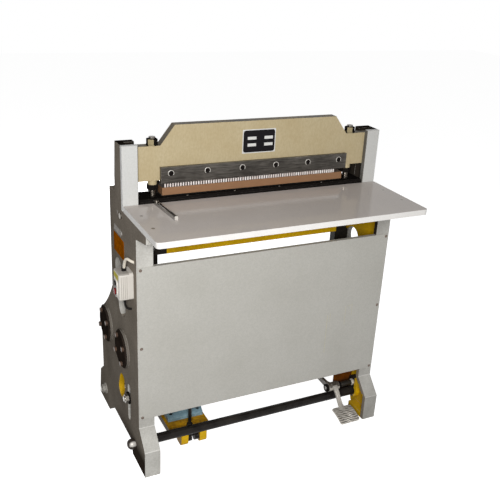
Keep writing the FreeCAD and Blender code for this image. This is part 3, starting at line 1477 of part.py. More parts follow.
def build():
    os.makedirs("parts", exist_ok=True)
    frame = left_side_frame()
    save("left_side_frame", frame.cut(lead_holes()))
    save("right_side_frame", other_side(frame))
    save("front_gibs", front_gibs())
    save("bearing_bushes", bearing_bushes())
    save("bearing_caps", bearing_caps())
    save("cap_bolts", cap_bolts())
    save("bed_beam", bed_beam())
    save("rod_guides", rod_guides())
    save("frame_bolts", gib_bolts() + bed_bolts())
    save("die_base", die_base())
    save("die_screws", die_screws())
    save("paper_backstop", paper_backstop())
    save("stripper_plate", stripper_plate())
    save("table_top", table())
    save("table_screws", table_screws() + [guide_pivot_screw()])
    save("front_cover", front_cover())
    save("cover_screws", cover_screws())
    save("crosshead", crosshead())
    save("clamp_plate", clamp_plate())
    save("clamp_screws", clamp_screws())
    save("punch_pins", punch_pins())
    save("nameplate", name_plate())
    save("pull_rods", pull_rods())
    save("rod_nuts", rod_nuts())
    save("eccentric_yokes", eccentric_yokes())
    save("eccentric_shaft", eccentric_shaft())
    save("clutch_collar", clutch_collar())
    save("main_gear", main_gear())
    save("pinion", pinion())
    save("countershaft", countershaft())
    save("flywheel", flywheel())
    save("motor_pulley", motor_pulley())
    save("motor_shaft", rod_along_x(motor_shaft, (belt_x - flywheel_width / 2.0, motor_low_x + motor_shaft_bite), motor_y, motor_z))
    save("drive_belts", drive_belts())
    save("motor_body", motor_body())
    save("motor_fan_cover", motor_fan_cover())
    save("terminal_box", terminal_box())
    save("motor_tray", motor_tray())
    save("motor_bolts", motor_bolts())
    save("tension_lugs", tension_lugs())
    save("tension_screw", tension_screw())
    save("front_cross_bar", front_cross_bar())
    save("cross_bar_nuts", cross_bar_nuts())
    save("tie_rods", tie_rods())
    save("tie_rod_nuts", tie_rod_nuts())
    save("pedal_bracket", [pedal_bracket(), spring_post_bar()])
    save("pedal_pivot", pedal_pivot())
    save("foot_pedal", foot_pedal())
    save("trip_link", trip_link())
    save("trip_lever", trip_lever())
    save("return_spring", return_spring())
    save("switch_base", switch_base())
    save("switch_cover", switch_cover())
    save("start_button", button(start_z, start_radius))
    save("stop_button", button(stop_z, stop_radius))
    save("supply_lead", lead(supply_lead_route(), supply_lead))
    save("motor_lead", lead(motor_lead_route(), motor_lead))
    save("switch_glands", switch_glands() + [supply_inlet()])
    save("side_guide", side_guide())


build()
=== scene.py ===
import bmesh
import bpy
import math
from mathutils import Euler, Matrix, Vector


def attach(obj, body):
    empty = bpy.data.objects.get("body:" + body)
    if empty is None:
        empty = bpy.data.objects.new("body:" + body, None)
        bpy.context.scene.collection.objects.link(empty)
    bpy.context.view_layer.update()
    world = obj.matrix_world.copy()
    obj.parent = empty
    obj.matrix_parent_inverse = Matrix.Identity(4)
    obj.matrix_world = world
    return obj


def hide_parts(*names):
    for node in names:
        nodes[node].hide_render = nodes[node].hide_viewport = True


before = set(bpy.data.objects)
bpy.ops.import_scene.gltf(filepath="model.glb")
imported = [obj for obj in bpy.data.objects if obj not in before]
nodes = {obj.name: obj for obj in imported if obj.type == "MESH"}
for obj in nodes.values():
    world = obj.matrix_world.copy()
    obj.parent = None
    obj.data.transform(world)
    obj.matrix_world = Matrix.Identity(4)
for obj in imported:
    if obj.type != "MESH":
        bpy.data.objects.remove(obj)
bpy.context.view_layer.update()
scene = bpy.context.scene
scene.view_settings.view_transform = "Standard"
machineOrigin = Vector((0.016, -0.1535, 0.0))  # middle between the side frames, at the front cover's seat
right, left = Vector((1, 0, 0)), Vector((-1, 0, 0))
rearward, forward, up = Vector((0, 1, 0)), Vector((0, -1, 0)), Vector((0, 0, 1))


def mm(*numbers):
    return Vector(numbers) / 1000.0


def spot(x, y, z):  # a place on the machine in mm, as a point of the shared frame
    return machineOrigin + mm(x, y, z)


def toLinear(code):
    parts = [int(code[i:i + 2], 16) / 255.0 for i in (1, 3, 5)]
    return [p / 12.92 if p <= 0.04045 else ((p + 0.055) / 1.055) ** 2.4 for p in parts] + [1.0]


def addNode(tree, kind, inputs={}, **settings):
    made = tree.nodes.new(kind)
    for name, value in settings.items():
        setattr(made, name, value)
    for name, value in inputs.items():
        if isinstance(value, bpy.types.NodeSocket):
            tree.links.new(value, made.inputs[name])
        else:
            made.inputs[name].default_value = value
    return made


def addObject(name, data):
    item = bpy.data.objects.new(name, data)
    scene.collection.objects.link(item)
    return item


# Camera

view = {"eye": (-1.0169, -2.0545, 1.6133), "turn": (65.793, -3.407, -26.970), "lens": 52.747, "sensor": 36.0,
        "shift": (-0.0427, 0.0455)}
cameraData = bpy.data.cameras.new("camera")
cameraData.lens = view["lens"]
cameraData.sensor_width = view["sensor"]
cameraData.shift_x, cameraData.shift_y = view["shift"]
scene.camera = addObject("camera", cameraData)
scene.camera.location = view["eye"]
scene.camera.rotation_euler = Euler([math.radians(a) for a in view["turn"]])


# Zones of a finish, each a list of tests. A test is kind, axis, sign, limit and blend

def beyond(axis, sign, value, blend=0.0):  # places past a value in mm on the machine
    index = "xyz".index(axis)
    return "Object", index, sign, machineOrigin[index] + value / 1000.0, blend / 1000.0


def between(axis, low, high):
    return [beyond(axis, 1, low), beyond(axis, -1, high)]


def facing(axis, sign, least=0.5, blend=0.0):  # faces that look at least so far along an axis
    return "Normal", "xyz".index(axis), sign, sign * least, blend


def makeMask(tree, tests):  # 1 where all tests hold
    where = addNode(tree, "ShaderNodeTexCoord")
    product = None
    for kind, axis, sign, limit, blend in tests:
        part = addNode(tree, "ShaderNodeSeparateXYZ", {0: where.outputs[kind]}).outputs[axis]
        if blend:
            test = addNode(tree, "ShaderNodeMapRange",
                           {0: part, 1: limit - sign * blend, 2: limit + sign * blend}).outputs[0]
        else:
            test = addNode(tree, "ShaderNodeMath", {0: part, 1: limit},
                           operation="GREATER_THAN" if sign > 0 else "LESS_THAN").outputs[0]
        if product:
            test = addNode(tree, "ShaderNodeMath", {0: product, 1: test}, operation="MULTIPLY").outputs[0]
        product = test
    return product


# Finishes. Sizes are in mm, shares go from 0 to 1. Ground, turned and cast grain is too fine to show in
# the picture, so it is drawn coarser than it is

usualLook = {"grain": 4.0, "patch": 170.0, "roughSpread": 0.05, "metal": 0.0, "relief": 0.05, "gloss": 0.5,
             "edge": 1.0, "soilShare": 0.25, "wearShare": 0.6}
spreads = {"fine": (0.35, 0.65), "broad": (0.32, 0.68), "edge": (0.995, 0.92), "chips": (0.45, 0.58),
           "chipScale": 90.0}


def addTones(tree, look, fineShare):  # two tones in fine grain, and what the mesh's own attributes say
    colour = addNode(tree, "ShaderNodeMix", {0: fineShare, 6: toLinear(look["colour"]),
                                             7: toLinear(look["second"])}, data_type="RGBA").outputs[2]
    for key, attribute in (("varied", "shade"), ("groove", "hollow")):  # a part's own shade, dirt in hollows
        if key in look:
            share = addNode(tree, "ShaderNodeAttribute", attribute_name=attribute).outputs["Fac"]
            colour = addNode(tree, "ShaderNodeMix", {0: share, 6: colour, 7: toLinear(look[key])},
                             data_type="RGBA").outputs[2]
    return colour


def addZones(tree, zones, fineShare, colour, rough, metal):
    for tests, tone in zones:
        mask = makeMask(tree, tests)
        other = addTones(tree, {"colour": tone["colour"], "second": tone["second"]}, fineShare)
        colour = addNode(tree, "ShaderNodeMix", {0: mask, 6: colour, 7: other}, data_type="RGBA").outputs[2]
        rough = addNode(tree, "ShaderNodeMix", {0: mask, 2: rough, 3: tone["rough"]}).outputs[0]
        if not isinstance(metal, float) or tone.get("metal", 0.0) != metal:
            metal = addNode(tree, "ShaderNodeMix", {0: mask, 2: metal, 3: tone.get("metal", 0.0)}).outputs[0]
    return colour, rough, metal


def addWear(tree, look, where, rounded, colour):  # paint or plating rubbed away along the edges
    surface = addNode(tree, "ShaderNodeNewGeometry")
    bend = addNode(tree, "ShaderNodeVectorMath", {0: rounded, 1: surface.outputs["Normal"]},
                   operation="DOT_PRODUCT")
    edge = addNode(tree, "ShaderNodeMapRange", {0: bend.outputs["Value"], 1: spreads["edge"][0],
                                                2: spreads["edge"][1]}).outputs[0]
    chips = addNode(tree, "ShaderNodeTexNoise", {0: where, "Scale": spreads["chipScale"], "Detail": 5.0})
    chips = addNode(tree, "ShaderNodeMapRange", {0: chips.outputs[0], 1: spreads["chips"][0],
                                                 2: spreads["chips"][1]}).outputs[0]
    worn = addNode(tree, "ShaderNodeMath", {0: edge, 1: chips}, operation="MULTIPLY").outputs[0]
    worn = addNode(tree, "ShaderNodeMath", {0: worn, 1: look["wearShare"]}, operation="MULTIPLY").outputs[0]
    return addNode(tree, "ShaderNodeMix", {0: worn, 6: colour, 7: toLinear(look["wear"])},
                   data_type="RGBA").outputs[2]


def makeFinish(name, look, zones):
    look = {**usualLook, **look}
    material = bpy.data.materials.new(name)
    material.use_nodes = True
    tree = material.node_tree
    tree.nodes.clear()
    where = addNode(tree, "ShaderNodeTexCoord").outputs["Object"]
    grain = look["grain"] if isinstance(look["grain"], tuple) else (look["grain"],) * 3
    fine = addNode(tree, "ShaderNodeMapping", {0: where, "Scale": [1000.0 / size for size in grain]})
    fine = addNode(tree, "ShaderNodeTexNoise",
                   {0: fine.outputs[0], "Scale": 1.0, "Detail": 3.0, "Roughness": 0.6}).outputs[0]
    broad = addNode(tree, "ShaderNodeTexNoise", {0: where, "Scale": 1000.0 / look["patch"], "Detail": 4.0,
                                                 "Roughness": 0.55}).outputs[0]
    fineShare, broadShare = (addNode(tree, "ShaderNodeMapRange", {0: noise, 1: low, 2: high}).outputs[0]
                             for noise, (low, high) in ((fine, spreads["fine"]), (broad, spreads["broad"])))
    rough = addNode(tree, "ShaderNodeMapRange", {0: broadShare, 3: look["rough"] - look["roughSpread"],
                                                 4: look["rough"] + look["roughSpread"]}).outputs[0]
    colour = addTones(tree, look, fineShare)
    colour, rough, metal = addZones(tree, zones, fineShare, colour, rough, look["metal"])
    if "soil" in look:  # oil and dust that gather in broad patches
        amount = addNode(tree, "ShaderNodeMath", {0: broadShare, 1: look["soilShare"]},
                         operation="MULTIPLY").outputs[0]
        colour = addNode(tree, "ShaderNodeMix", {0: amount, 6: colour, 7: toLinear(look["soil"])},
                         data_type="RGBA").outputs[2]
    rounded = addNode(tree, "ShaderNodeBevel", {"Radius": look["edge"] / 1000.0}, samples=4).outputs[0]
    if "wear" in look:
        colour = addWear(tree, look, where, rounded, colour)
    bump = addNode(tree, "ShaderNodeBump", {"Height": fine, "Strength": 1.0, "Normal": rounded,
                                            "Distance": look["relief"] / 1000.0})
    shader = addNode(tree, "ShaderNodeBsdfPrincipled", {
        "Base Color": colour, "Roughness": rough, "Metallic": metal, "Normal": bump.outputs[0],
        "Specular IOR Level": look["gloss"]})
    addNode(tree, "ShaderNodeOutputMaterial", {0: shader.outputs[0]})
    return material


looks = {
    # Hammered stoving enamel over iron and sheet: a warm light grey, dimpled, half gloss
    "hammeredEnamel": {"colour": "#B7B5AE", "second": "#AEACA5", "grain": 4.5, "rough": 0.42, "relief": 0.16,
                       "soil": "#8F8B80", "soilShare": 0.18, "wear": "#D2D0CA", "edge": 1.2},
    # The same enamel over the frames' sides, darker and dirtier than on the faces that look forward, and
    # darker still as painted shade
    "castingEnamel": {"colour": "#9A9185", "second": "#8A8176", "grain": 5.0, "rough": 0.45, "relief": 0.3,
                      "soil": "#463F36", "soilShare": 0.4, "wear": "#C6C2BA", "wearShare": 0.4, "edge": 2.5,
                      "gloss": 0.0},
    # Yellow brushing enamel on the inner faces: strong ochre yellow, glossy, uneven
    "yellowEnamel": {"colour": "#E3B60E", "second": "#D2A508", "grain": 7.0, "rough": 0.34, "relief": 0.15,
                     "soil": "#6A4C0C", "soilShare": 0.35, "wear": "#5A4A2A", "edge": 1.2, "gloss": 0.15},
    # The same yellow on the tray, browned by oil
    "oiledYellow": {"colour": "#C9960C", "second": "#9C6C0A", "grain": 9.0, "rough": 0.4, "relief": 0.15,
                    "soil": "#3E2C0C", "soilShare": 0.7, "wear": "#E0B428", "edge": 1.5, "patch": 45.0,
                    "gloss": 0.15},
    # Yellow painted dark brown as shade, on the guard behind the pedal's pivot
    "shadedYellow": {"colour": "#7A4210", "second": "#5E300C", "grain": 8.0, "rough": 0.5, "relief": 0.1,
                      "soil": "#2E1A08", "soilShare": 0.6, "edge": 1.0, "patch": 35.0, "gloss": 0.05},
    # White enamel on planed steel posts
    "whiteEnamel": {"colour": "#C9C9C7", "second": "#C1C1BE", "grain": 5.0, "rough": 0.36, "relief": 0.08,
                    "soil": "#BDB9AF", "soilShare": 0.25, "wear": "#A9A59C", "edge": 0.8},
    # Cream enamel on the crosshead, brushed and yellowed, with runs down its face
    "creamEnamel": {"colour": "#B8AA89", "second": "#AE9F7D", "grain": (4.0, 4.0, 9.0), "rough": 0.4,
                    "relief": 0.05, "soil": "#A38F66", "soilShare": 0.35, "wear": "#8A7F6A", "edge": 0.8,
                    "patch": 90.0},
    # Laminate on the table: pale, smooth and faintly mirroring
    "laminate": {"colour": "#D3CBC5", "second": "#CBC3BD", "grain": 3.0, "rough": 0.1, "roughSpread": 0.03,
                 "relief": 0.0, "soil": "#BBB3AC", "soilShare": 0.3, "edge": 0.6, "gloss": 0.08},
    # Light blue brushing enamel on the motor, dulled and spotted by oil
    "blueEnamel": {"colour": "#8AA8B4", "second": "#7392A0", "grain": 6.0, "rough": 0.4, "relief": 0.1,
                   "soil": "#3E494C", "soilShare": 0.6, "wear": "#C2D2D8", "edge": 1.5, "patch": 50.0,
                   "gloss": 0.25},
    # Black enamel on bars and brackets: deep and glossy, rubbed grey along the edges
    "blackEnamel": {"colour": "#0F0D0D", "second": "#171414", "grain": 6.0, "rough": 0.28, "relief": 0.08,
                    "soil": "#4A453E", "soilShare": 0.3, "wear": "#6E6A64", "edge": 1.0, "patch": 60.0,
                    "gloss": 0.1},
    # Sand-cast aluminium, rubbed bright on the ribs and nearly black between them
    "castAluminium": {"colour": "#C9C4BB", "second": "#ACA69C", "grain": 2.5, "rough": 0.42, "relief": 0.2,
                      "metal": 0.35, "soil": "#6E655A", "soilShare": 0.35, "wear": "#EFECE6", "edge": 1.5,
                      "patch": 40.0, "groove": "#1D1915"},
    # Oiled cast iron: dark grey with a dull sheen
    "oiledIron": {"colour": "#4A4641", "second": "#35322E", "grain": 3.0, "rough": 0.48, "relief": 0.25,
                  "metal": 0.7, "soil": "#2A241D", "soilShare": 0.5, "wear": "#8C8780", "edge": 1.2},
    # Die screws and small heads, polished by the paper: pale and bright
    "brightHead": {"colour": "#D8D4CD", "second": "#B9B4AC", "grain": 1.0, "rough": 0.4, "relief": 0.01,
                   "metal": 0.2, "edge": 0.3},
    # The same on the bar's nuts, dulled by oil
    "dulledHead": {"colour": "#D8D4CD", "second": "#B9B4AC", "grain": 1.0, "rough": 0.4, "relief": 0.01,
                   "metal": 0.2, "edge": 0.3, "gloss": 0.1},
    # Bare steel of the cover's screws, gone brown and dull
    "brownedSteel": {"colour": "#7A6C62", "second": "#5E5148", "grain": 1.5, "rough": 0.5, "relief": 0.03,
                     "metal": 0.4, "soil": "#3B2F27", "soilShare": 0.4, "edge": 0.4},
    # Blackened and oiled steel of the die: near black, with fine marks along it
    "blackenedSteel": {"colour": "#141211", "second": "#1F1C1A", "grain": (18.0, 1.2, 1.2), "rough": 0.35,
                       "relief": 0.02, "wear": "#77726B", "edge": 0.6, "gloss": 0.0},
    # Ground tool steel with fine lengthwise scratches
    "groundSteel": {"colour": "#75716B", "second": "#4E4A46", "grain": (45.0, 1.5, 3.0), "rough": 0.36,
                    "relief": 0.015, "metal": 0.85, "soil": "#2B2824", "soilShare": 0.6, "wear": "#A8A49E",
                    "edge": 0.8, "patch": 60.0},
    # Turned steel: bright, clear metal with fine rings
    "turnedSteel": {"colour": "#B4B1AC", "second": "#9B9893", "grain": (1.0, 1.0, 12.0), "rough": 0.26,
                    "relief": 0.01, "metal": 1.0, "soil": "#6B655C", "soilShare": 0.3, "edge": 0.6},
    # Ground rods: bright metal under a brown film of oil
    "oiledRod": {"colour": "#857F77", "second": "#6B655D", "grain": (1.0, 1.0, 12.0), "rough": 0.28,
                 "relief": 0.01, "metal": 1.0, "soil": "#3A322A", "soilShare": 0.6, "edge": 0.6,
                 "patch": 40.0},
    # Zinc-plated fasteners: grey, dulled metal
    "zincedSteel": {"colour": "#9C978F", "second": "#77726A", "grain": 2.0, "rough": 0.35, "relief": 0.02,
                    "metal": 1.0, "soil": "#5F574B", "soilShare": 0.4, "edge": 0.5},
    # Brown-black enamel of the bearing caps, dull and a little dusty
    "bearingBlack": {"colour": "#221C18", "second": "#2C2520", "grain": 5.0, "rough": 0.42, "relief": 0.15,
                     "soil": "#4A4038", "soilShare": 0.3, "wear": "#7A7066", "wearShare": 0.25, "edge": 1.5,
                     "gloss": 0.0, "patch": 60.0},
    # Yellow-passivated bolts, gone coppery
    "brassedSteel": {"colour": "#6A5344", "second": "#48392F", "grain": 2.0, "rough": 0.36, "relief": 0.02,
                     "metal": 0.15, "gloss": 0.1, "soil": "#3A3028", "soilShare": 0.5, "edge": 0.5},
    # Hardened pins, ground bright: painted near white beside the dark plate, as their highlight
    "polishedSteelGlint": {"colour": "#FFFBF8", "second": "#F4ECE8", "grain": (1.5, 1.5, 8.0), "rough": 0.3,
                      "relief": 0.0, "metal": 0.1, "edge": 0.2, "varied": "#D9CBC5"},
    # Coppered steel of the stripper, oil brown
    "copperedSteel": {"colour": "#9C7453", "second": "#8E694B", "grain": (30.0, 1.5, 1.5), "rough": 0.42,
                      "relief": 0.015, "metal": 0.3, "soil": "#7A5A40", "soilShare": 0.35, "edge": 0.6},
    # Cast and turned bronze of the bushes: warm yellow-brown metal
    "castBronze": {"colour": "#A5803F", "second": "#8F6C33", "grain": 1.5, "rough": 0.35, "relief": 0.02,
                   "metal": 1.0, "edge": 0.5},
    # Enamel of the flanges that look forward, wiped clean and lighter, and lighter still as painted light
    # from the front
    "flangeLitEnamel": {"colour": "#CCCAC4", "second": "#BFBDB6", "rough": 0.42},
    # Chrome plate on the side guide: a cool, clear mirror
    "chromedBar": {"colour": "#B4B3B1", "second": "#A5A4A2", "grain": (1.0, 20.0, 1.0), "rough": 0.16,
                   "relief": 0.0, "metal": 1.0, "edge": 0.6},
    # Moulded cream ABS: even, with a soft sheen
    "creamPlastic": {"colour": "#D0CBC3", "second": "#C9C4BC", "grain": 1.2, "rough": 0.42, "relief": 0.04,
                     "soil": "#A79E8F", "soilShare": 0.3, "edge": 1.0},
    # The same, greyer, on the fine ribs
    "ribPlastic": {"colour": "#ABA59C", "second": "#A29C93", "grain": 1.2, "rough": 0.45, "relief": 0.02,
                   "edge": 0.3},
    # Moulded black phenolic: deep black with a small, clear highlight
    "blackPlastic": {"colour": "#161413", "second": "#1E1C1B", "grain": 1.5, "rough": 0.32, "relief": 0.02,
                     "edge": 0.6, "gloss": 0.08},
    # Moulded red phenolic: dark red with a small, clear highlight
    "redPlastic": {"colour": "#761415", "second": "#661112", "grain": 1.5, "rough": 0.3, "relief": 0.02,
                   "edge": 0.6, "gloss": 0.1},
    # Rubber of the belts: dark grey and matt
    "beltRubber": {"colour": "#22201F", "second": "#2C2A28", "grain": 2.0, "rough": 0.7, "relief": 0.08,
                   "edge": 0.6},
    # Extruded soft PVC sheaths: even and half dull
    "creamSheath": {"colour": "#D6CEBF", "second": "#CFC7B8", "grain": 3.0, "rough": 0.45, "relief": 0.03,
                    "edge": 0.3},
    "blackSheath": {"colour": "#181615", "second": "#201E1C", "grain": 3.0, "rough": 0.45, "relief": 0.03,
                    "edge": 0.3, "gloss": 0.05},
    # Oil-tempered spring wire: black-brown with a metal sheen
    "springWire": {"colour": "#3A3734", "second": "#4A4743", "grain": 2.0, "rough": 0.35, "relief": 0.01,
                   "metal": 1.0, "edge": 0.2},
    # Brushed aluminium plate, pale where its rim and fields are left bare
    "plateAluminium": {"colour": "#DAD9D6", "second": "#CBCAC7", "grain": (20.0, 1.0, 1.0), "rough": 0.35,
                       "relief": 0.01, "metal": 0.4, "edge": 0.3},
    # Screen-printed black field of the plate, flat and even
    "plateBlack": {"colour": "#0F0D10", "second": "#161317", "grain": 3.0, "rough": 0.4, "relief": 0.0,
                   "edge": 0.2, "gloss": 0.1},
    # Orange foil plate, left bare: dull, soiled with brown
    "orangeFoil": {"colour": "#C06A00", "second": "#9A5200", "grain": 8.0, "rough": 0.5, "relief": 0.02,
                   "soil": "#6A3C04", "soilShare": 0.5, "edge": 0.3, "patch": 30.0, "gloss": 0.0},
    # Small grey foil plate above it, left bare, rubbed patchy
    "greyFoil": {"colour": "#A39E97", "second": "#86817A", "grain": (6.0, 6.0, 2.5), "rough": 0.5,
                 "relief": 0.01, "soil": "#6E675E", "soilShare": 0.4, "edge": 0.3, "patch": 25.0,
                 "gloss": 0.1},
    # Yellow foil on the switch box, left bare: even and dull
    "yellowFoil": {"colour": "#C9BC1E", "second": "#B8AB18", "grain": 6.0, "rough": 0.5, "relief": 0.02,
                   "edge": 0.3, "gloss": 0.06},
}

# Tones of single faces: dirt, shade, oil and other paint that the photograph shows there
tones = {name: {"colour": colour, "second": second, "rough": rough} for name, (colour, second, rough) in {
    # dark faces: oil and grease on the iron, and painted shade where a face lies in shadow
    "darkOilAndShade": ("#161311", "#1C1917", 0.6),
    # painted shade on a top face under an overhang
    "shadedTopBlack": ("#0E0D0C", "#141210", 0.85),
    # painted highlight along a bend
    "bendHighlight": ("#EAE8E3", "#DAD8D2", 0.4),
    "bossRim": ("#7A746B", "#6D675F", 0.45),
    # painted shade, low on the frames' outer faces and round the bearing caps
    "lowShade": ("#3E352E", "#332B25", 0.55),
    "yellowRun": ("#C2BC98", "#B5AF8E", 0.45),
    # painted shade on the side that looks away from the light
    "lugShadedSide": ("#94700F", "#74540E", 0.5),
    "trayEnd": ("#2E2110", "#241A0C", 0.5),
    "paintedNut": ("#A9A59E", "#98948C", 0.42),
    "edgeBand": ("#EFEDEA", "#E8E6E2", 0.35),
    "boardBack": ("#8A7A66", "#7A6B58", 0.7),
    "brightCentre": ("#D8D6D2", "#BDBAB5", 0.3),
    "guideFloor": ("#24211F", "#2E2B28", 0.5),
    # painted shade on a top face
    "coverShadedTop": ("#A6A19A", "#9C9790", 0.45),
    "bezelBlack": ("#1C1615", "#261E1C", 0.4),
    # oil, and painted shade on parts under the cover
    "hubOilAndShade": ("#4B443C", "#38322B", 0.4),
    "postSide": ("#35302B", "#2A2622", 0.5),
    # painted light on the flat that looks forward
    "nutLitFlat": ("#A49776", "#8B7F62", 0.4),
    "boltEnd": ("#6E665C", "#5F574E", 0.5),
    # painted shade on a nut's faces away from the light
    "nutShade": ("#3A322C", "#2C2621", 0.45),
}.items()}

# Where the side frames change tone, in mm on the machine
frameZones = {"flangeTurn": 0.3, "behindFlange": 16.5, "bends": [(154.5, 157.0), (95.5, 98.0)],
              "darkCheek": (870.0, 90.0), "lowShade": (75.0, 25.0), "soilDepth": (200.0, 100.0),
              "bossFace": 450.4, "bossTop": 500.0, "darkAbove": 724.0, "innerDarkAbove": 858.0, "topAbove": 900.0,
              "yellowFeet": [(100.0, -41.5), (128.0, -12.5)], "pad": (22.5, -41.5, 429.5),
              "window": ((172.0, 245.0), (150.0, 262.0))}


def listFrameZones(side):  # side is 1 for the left frame, whose inside looks to +x, and -1 for the right one
    faceIn, faceOut = facing("x", side), facing("x", -side)
    flange = facing("y", -1, frameZones["flangeTurn"])
    inside = [faceIn, beyond("y", 1, frameZones["behindFlange"])]
    boss = [beyond("x", -side, -side * frameZones["bossFace"]), beyond("z", -1, frameZones["bossTop"])]
    window = [facing("x", 1, -0.5), facing("x", -1, -0.5)]  # the rim, which looks neither in nor out
    window += between("y", *frameZones["window"][0]) + between("z", *frameZones["window"][1])
    cheekHigh, cheekDeep = frameZones["darkCheek"]
    padHigh, padDeep, padSide = frameZones["pad"]
    pad = [beyond("z", -1, padHigh), beyond("y", 1, padDeep), beyond("x", side, -side * padSide)]
    # the low front of the outer faces is darkened as painted shade
    zones = [([faceOut, beyond("z", -1, *frameZones["lowShade"]), beyond("y", -1, *frameZones["soilDepth"])],
              # faces that look forward take the lighter enamel, partly painted light
              "lowShade"), ([flange], "flangeLitEnamel")]
    # painted highlights along the flanges' bends
    zones += [([flange] + between("z", *bend), "bendHighlight") for bend in frameZones["bends"]]
    # high up, the cheeks' forward faces and the flanges' inner sides are darkened, partly as painted shade
    zones += [([flange, beyond("z", 1, cheekHigh), beyond("y", 1, cheekDeep)], "darkOilAndShade"),
              # the bosses' outer faces round the caps take the same painted shade
              (boss, "bossRim"), (boss + [faceOut], "lowShade"),
              ([faceIn, beyond("z", 1, frameZones["darkAbove"]), beyond("y", -1, frameZones["behindFlange"])],
               "darkOilAndShade"), (inside, "yellowEnamel")]
    zones += [([faceIn, beyond("z", -1, high), beyond("y", 1, deep)], "yellowEnamel")
              for high, deep in frameZones["yellowFeet"]]
    return zones + [(pad, "yellowEnamel"), (window, "yellowEnamel"),
                    # inner faces above the table are darkened, partly as painted shade; top faces high up are
                    # dark
                    (inside + [beyond("z", 1, frameZones["innerDarkAbove"])], "darkOilAndShade"),
                    ([facing("z", 1), beyond("z", 1, frameZones["topAbove"])], "darkOilAndShade")]


# Faint yellowed runs on the cover's lower right, as x and z ranges
coverRuns = [(231.0, 232.4, 296.0, 445.0), (242.0, 243.2, 418.0, 452.0), (304.0, 305.2, 396.0, 470.0),
             (330.0, 331.2, 430.0, 474.0), (312.0, 330.0, 469.0, 470.2)]
tieNuts = {"face": 454.1, "rear": 253.5}  # past the first a nut is bare zinc, past the second painted

# Finishes that change tone over a piece: the look they start from, and their zones
zoned = {
    "leftFrameEnamel": ("castingEnamel", listFrameZones(1)),
    "rightFrameEnamel": ("castingEnamel", listFrameZones(-1)),
    "coverEnamel": ("hammeredEnamel", [([facing("y", -1)] + between("x", x, xEnd) + between("z", z, zEnd),
                                        "yellowRun") for x, xEnd, z, zEnd in coverRuns]),
    # the side that faces left is painted darker as shade
    "lugEnamel": ("yellowEnamel", [([facing("x", -1)], "lugShadedSide")]),
    "trayEnamel": ("oiledYellow", [([facing("x", -1)], "trayEnd")]),
    # the crosshead's top and chamfers are dark, partly as painted shade
    "creamEnamel": ("creamEnamel", [([facing("z", 1, 0.2)], "darkOilAndShade")]),
    "laminate": ("laminate", [([facing("z", -1, -0.5)], "edgeBand"), ([facing("z", -1)], "boardBack")]),
    "tieNut": ("blackenedSteel", [([beyond("x", -1, -tieNuts["face"])], "zincedSteel"),
                                  ([beyond("x", 1, tieNuts["face"])], "zincedSteel"),
                                  ([beyond("y", 1, tieNuts["rear"])], "paintedNut")]),
    "pivotSteel": ("blackenedSteel", [
        ([facing("x", -1)] + between("y", 48.0, 60.0) + between("z", 92.0, 104.0), "brightCentre")]),
    "guideBar": ("chromedBar", [([facing("z", 1), beyond("z", -1, 884.8)], "guideFloor")]),
    "coverPlastic": ("creamPlastic", [
        # the top face is painted greyer as shade
        ([facing("z", 1)] + between("x", -500.0, -460.0) + between("y", 30.0, 90.0)
         + between("z", 690.5, 699.0), "coverShadedTop"),
        ([facing("x", -1)] + between("x", -500.0, -495.2) + between("y", 46.5, 73.5)
         + between("z", 616.5, 669.5), "bezelBlack")]),
    "bracketEnamel": ("blackEnamel", [
        ([facing("y", -1), beyond("z", -1, 200.0)], "yellowEnamel"),
        ([facing("x", -1), beyond("y", -1, 42.0), beyond("z", -1, 200.0)], "yellowEnamel")]),
    # hub and rear arm are darker: oil, and painted shade under the cover
    "footCasting": ("castAluminium", [([beyond("y", 1, 38.0)], "hubOilAndShade")]),
    # the top face is painted near black as shade under the crosshead
    "coppered": ("copperedSteel", [([facing("z", 1)], "shadedTopBlack")]),
    "postEnamel": ("whiteEnamel", [([facing("x", 1), beyond("x", -1, 0.0)], "postSide"),
                                   ([facing("x", -1), beyond("x", 1, 0.0)], "postSide")]),
    # the flat that looks forward is painted light tan as lit
    "blackedNut": ("blackenedSteel", [([facing("y", -1, 0.6), facing("x", -1, -0.1), beyond("z", 1, 1000.0)],
                                       "nutLitFlat")]),
    "boltHead": ("zincedSteel", [([beyond("y", 1, 170.0)], "boltEnd")]),
    # only the lit front band keeps the bright head, as a painted highlight; the other faces are painted shade
    "domedNutShaded": ("dulledHead", [([test], "nutShade") for test in (
        facing("x", -1, 0.75, 0.12), facing("x", 1, 0.75, 0.12), facing("y", 1, -0.5, 0.12),
        facing("z", -1, -0.1, 0.12))]),
    # the guard's lower part is painted darker still as shade
    "guardShadeEnamel": ("shadedYellow", [([beyond("z", -1, 90.0, 12.0)], "darkOilAndShade")]),
}
finishes = {}


def finishOf(name):  # made when the first piece asks for it
    if name not in finishes:
        look, zones = zoned.get(name, (name, []))
        known = {**looks, **tones}
        finishes[name] = makeFinish(name, looks[look], [(tests, known[tone]) for tests, tone in zones])
    return finishes[name]


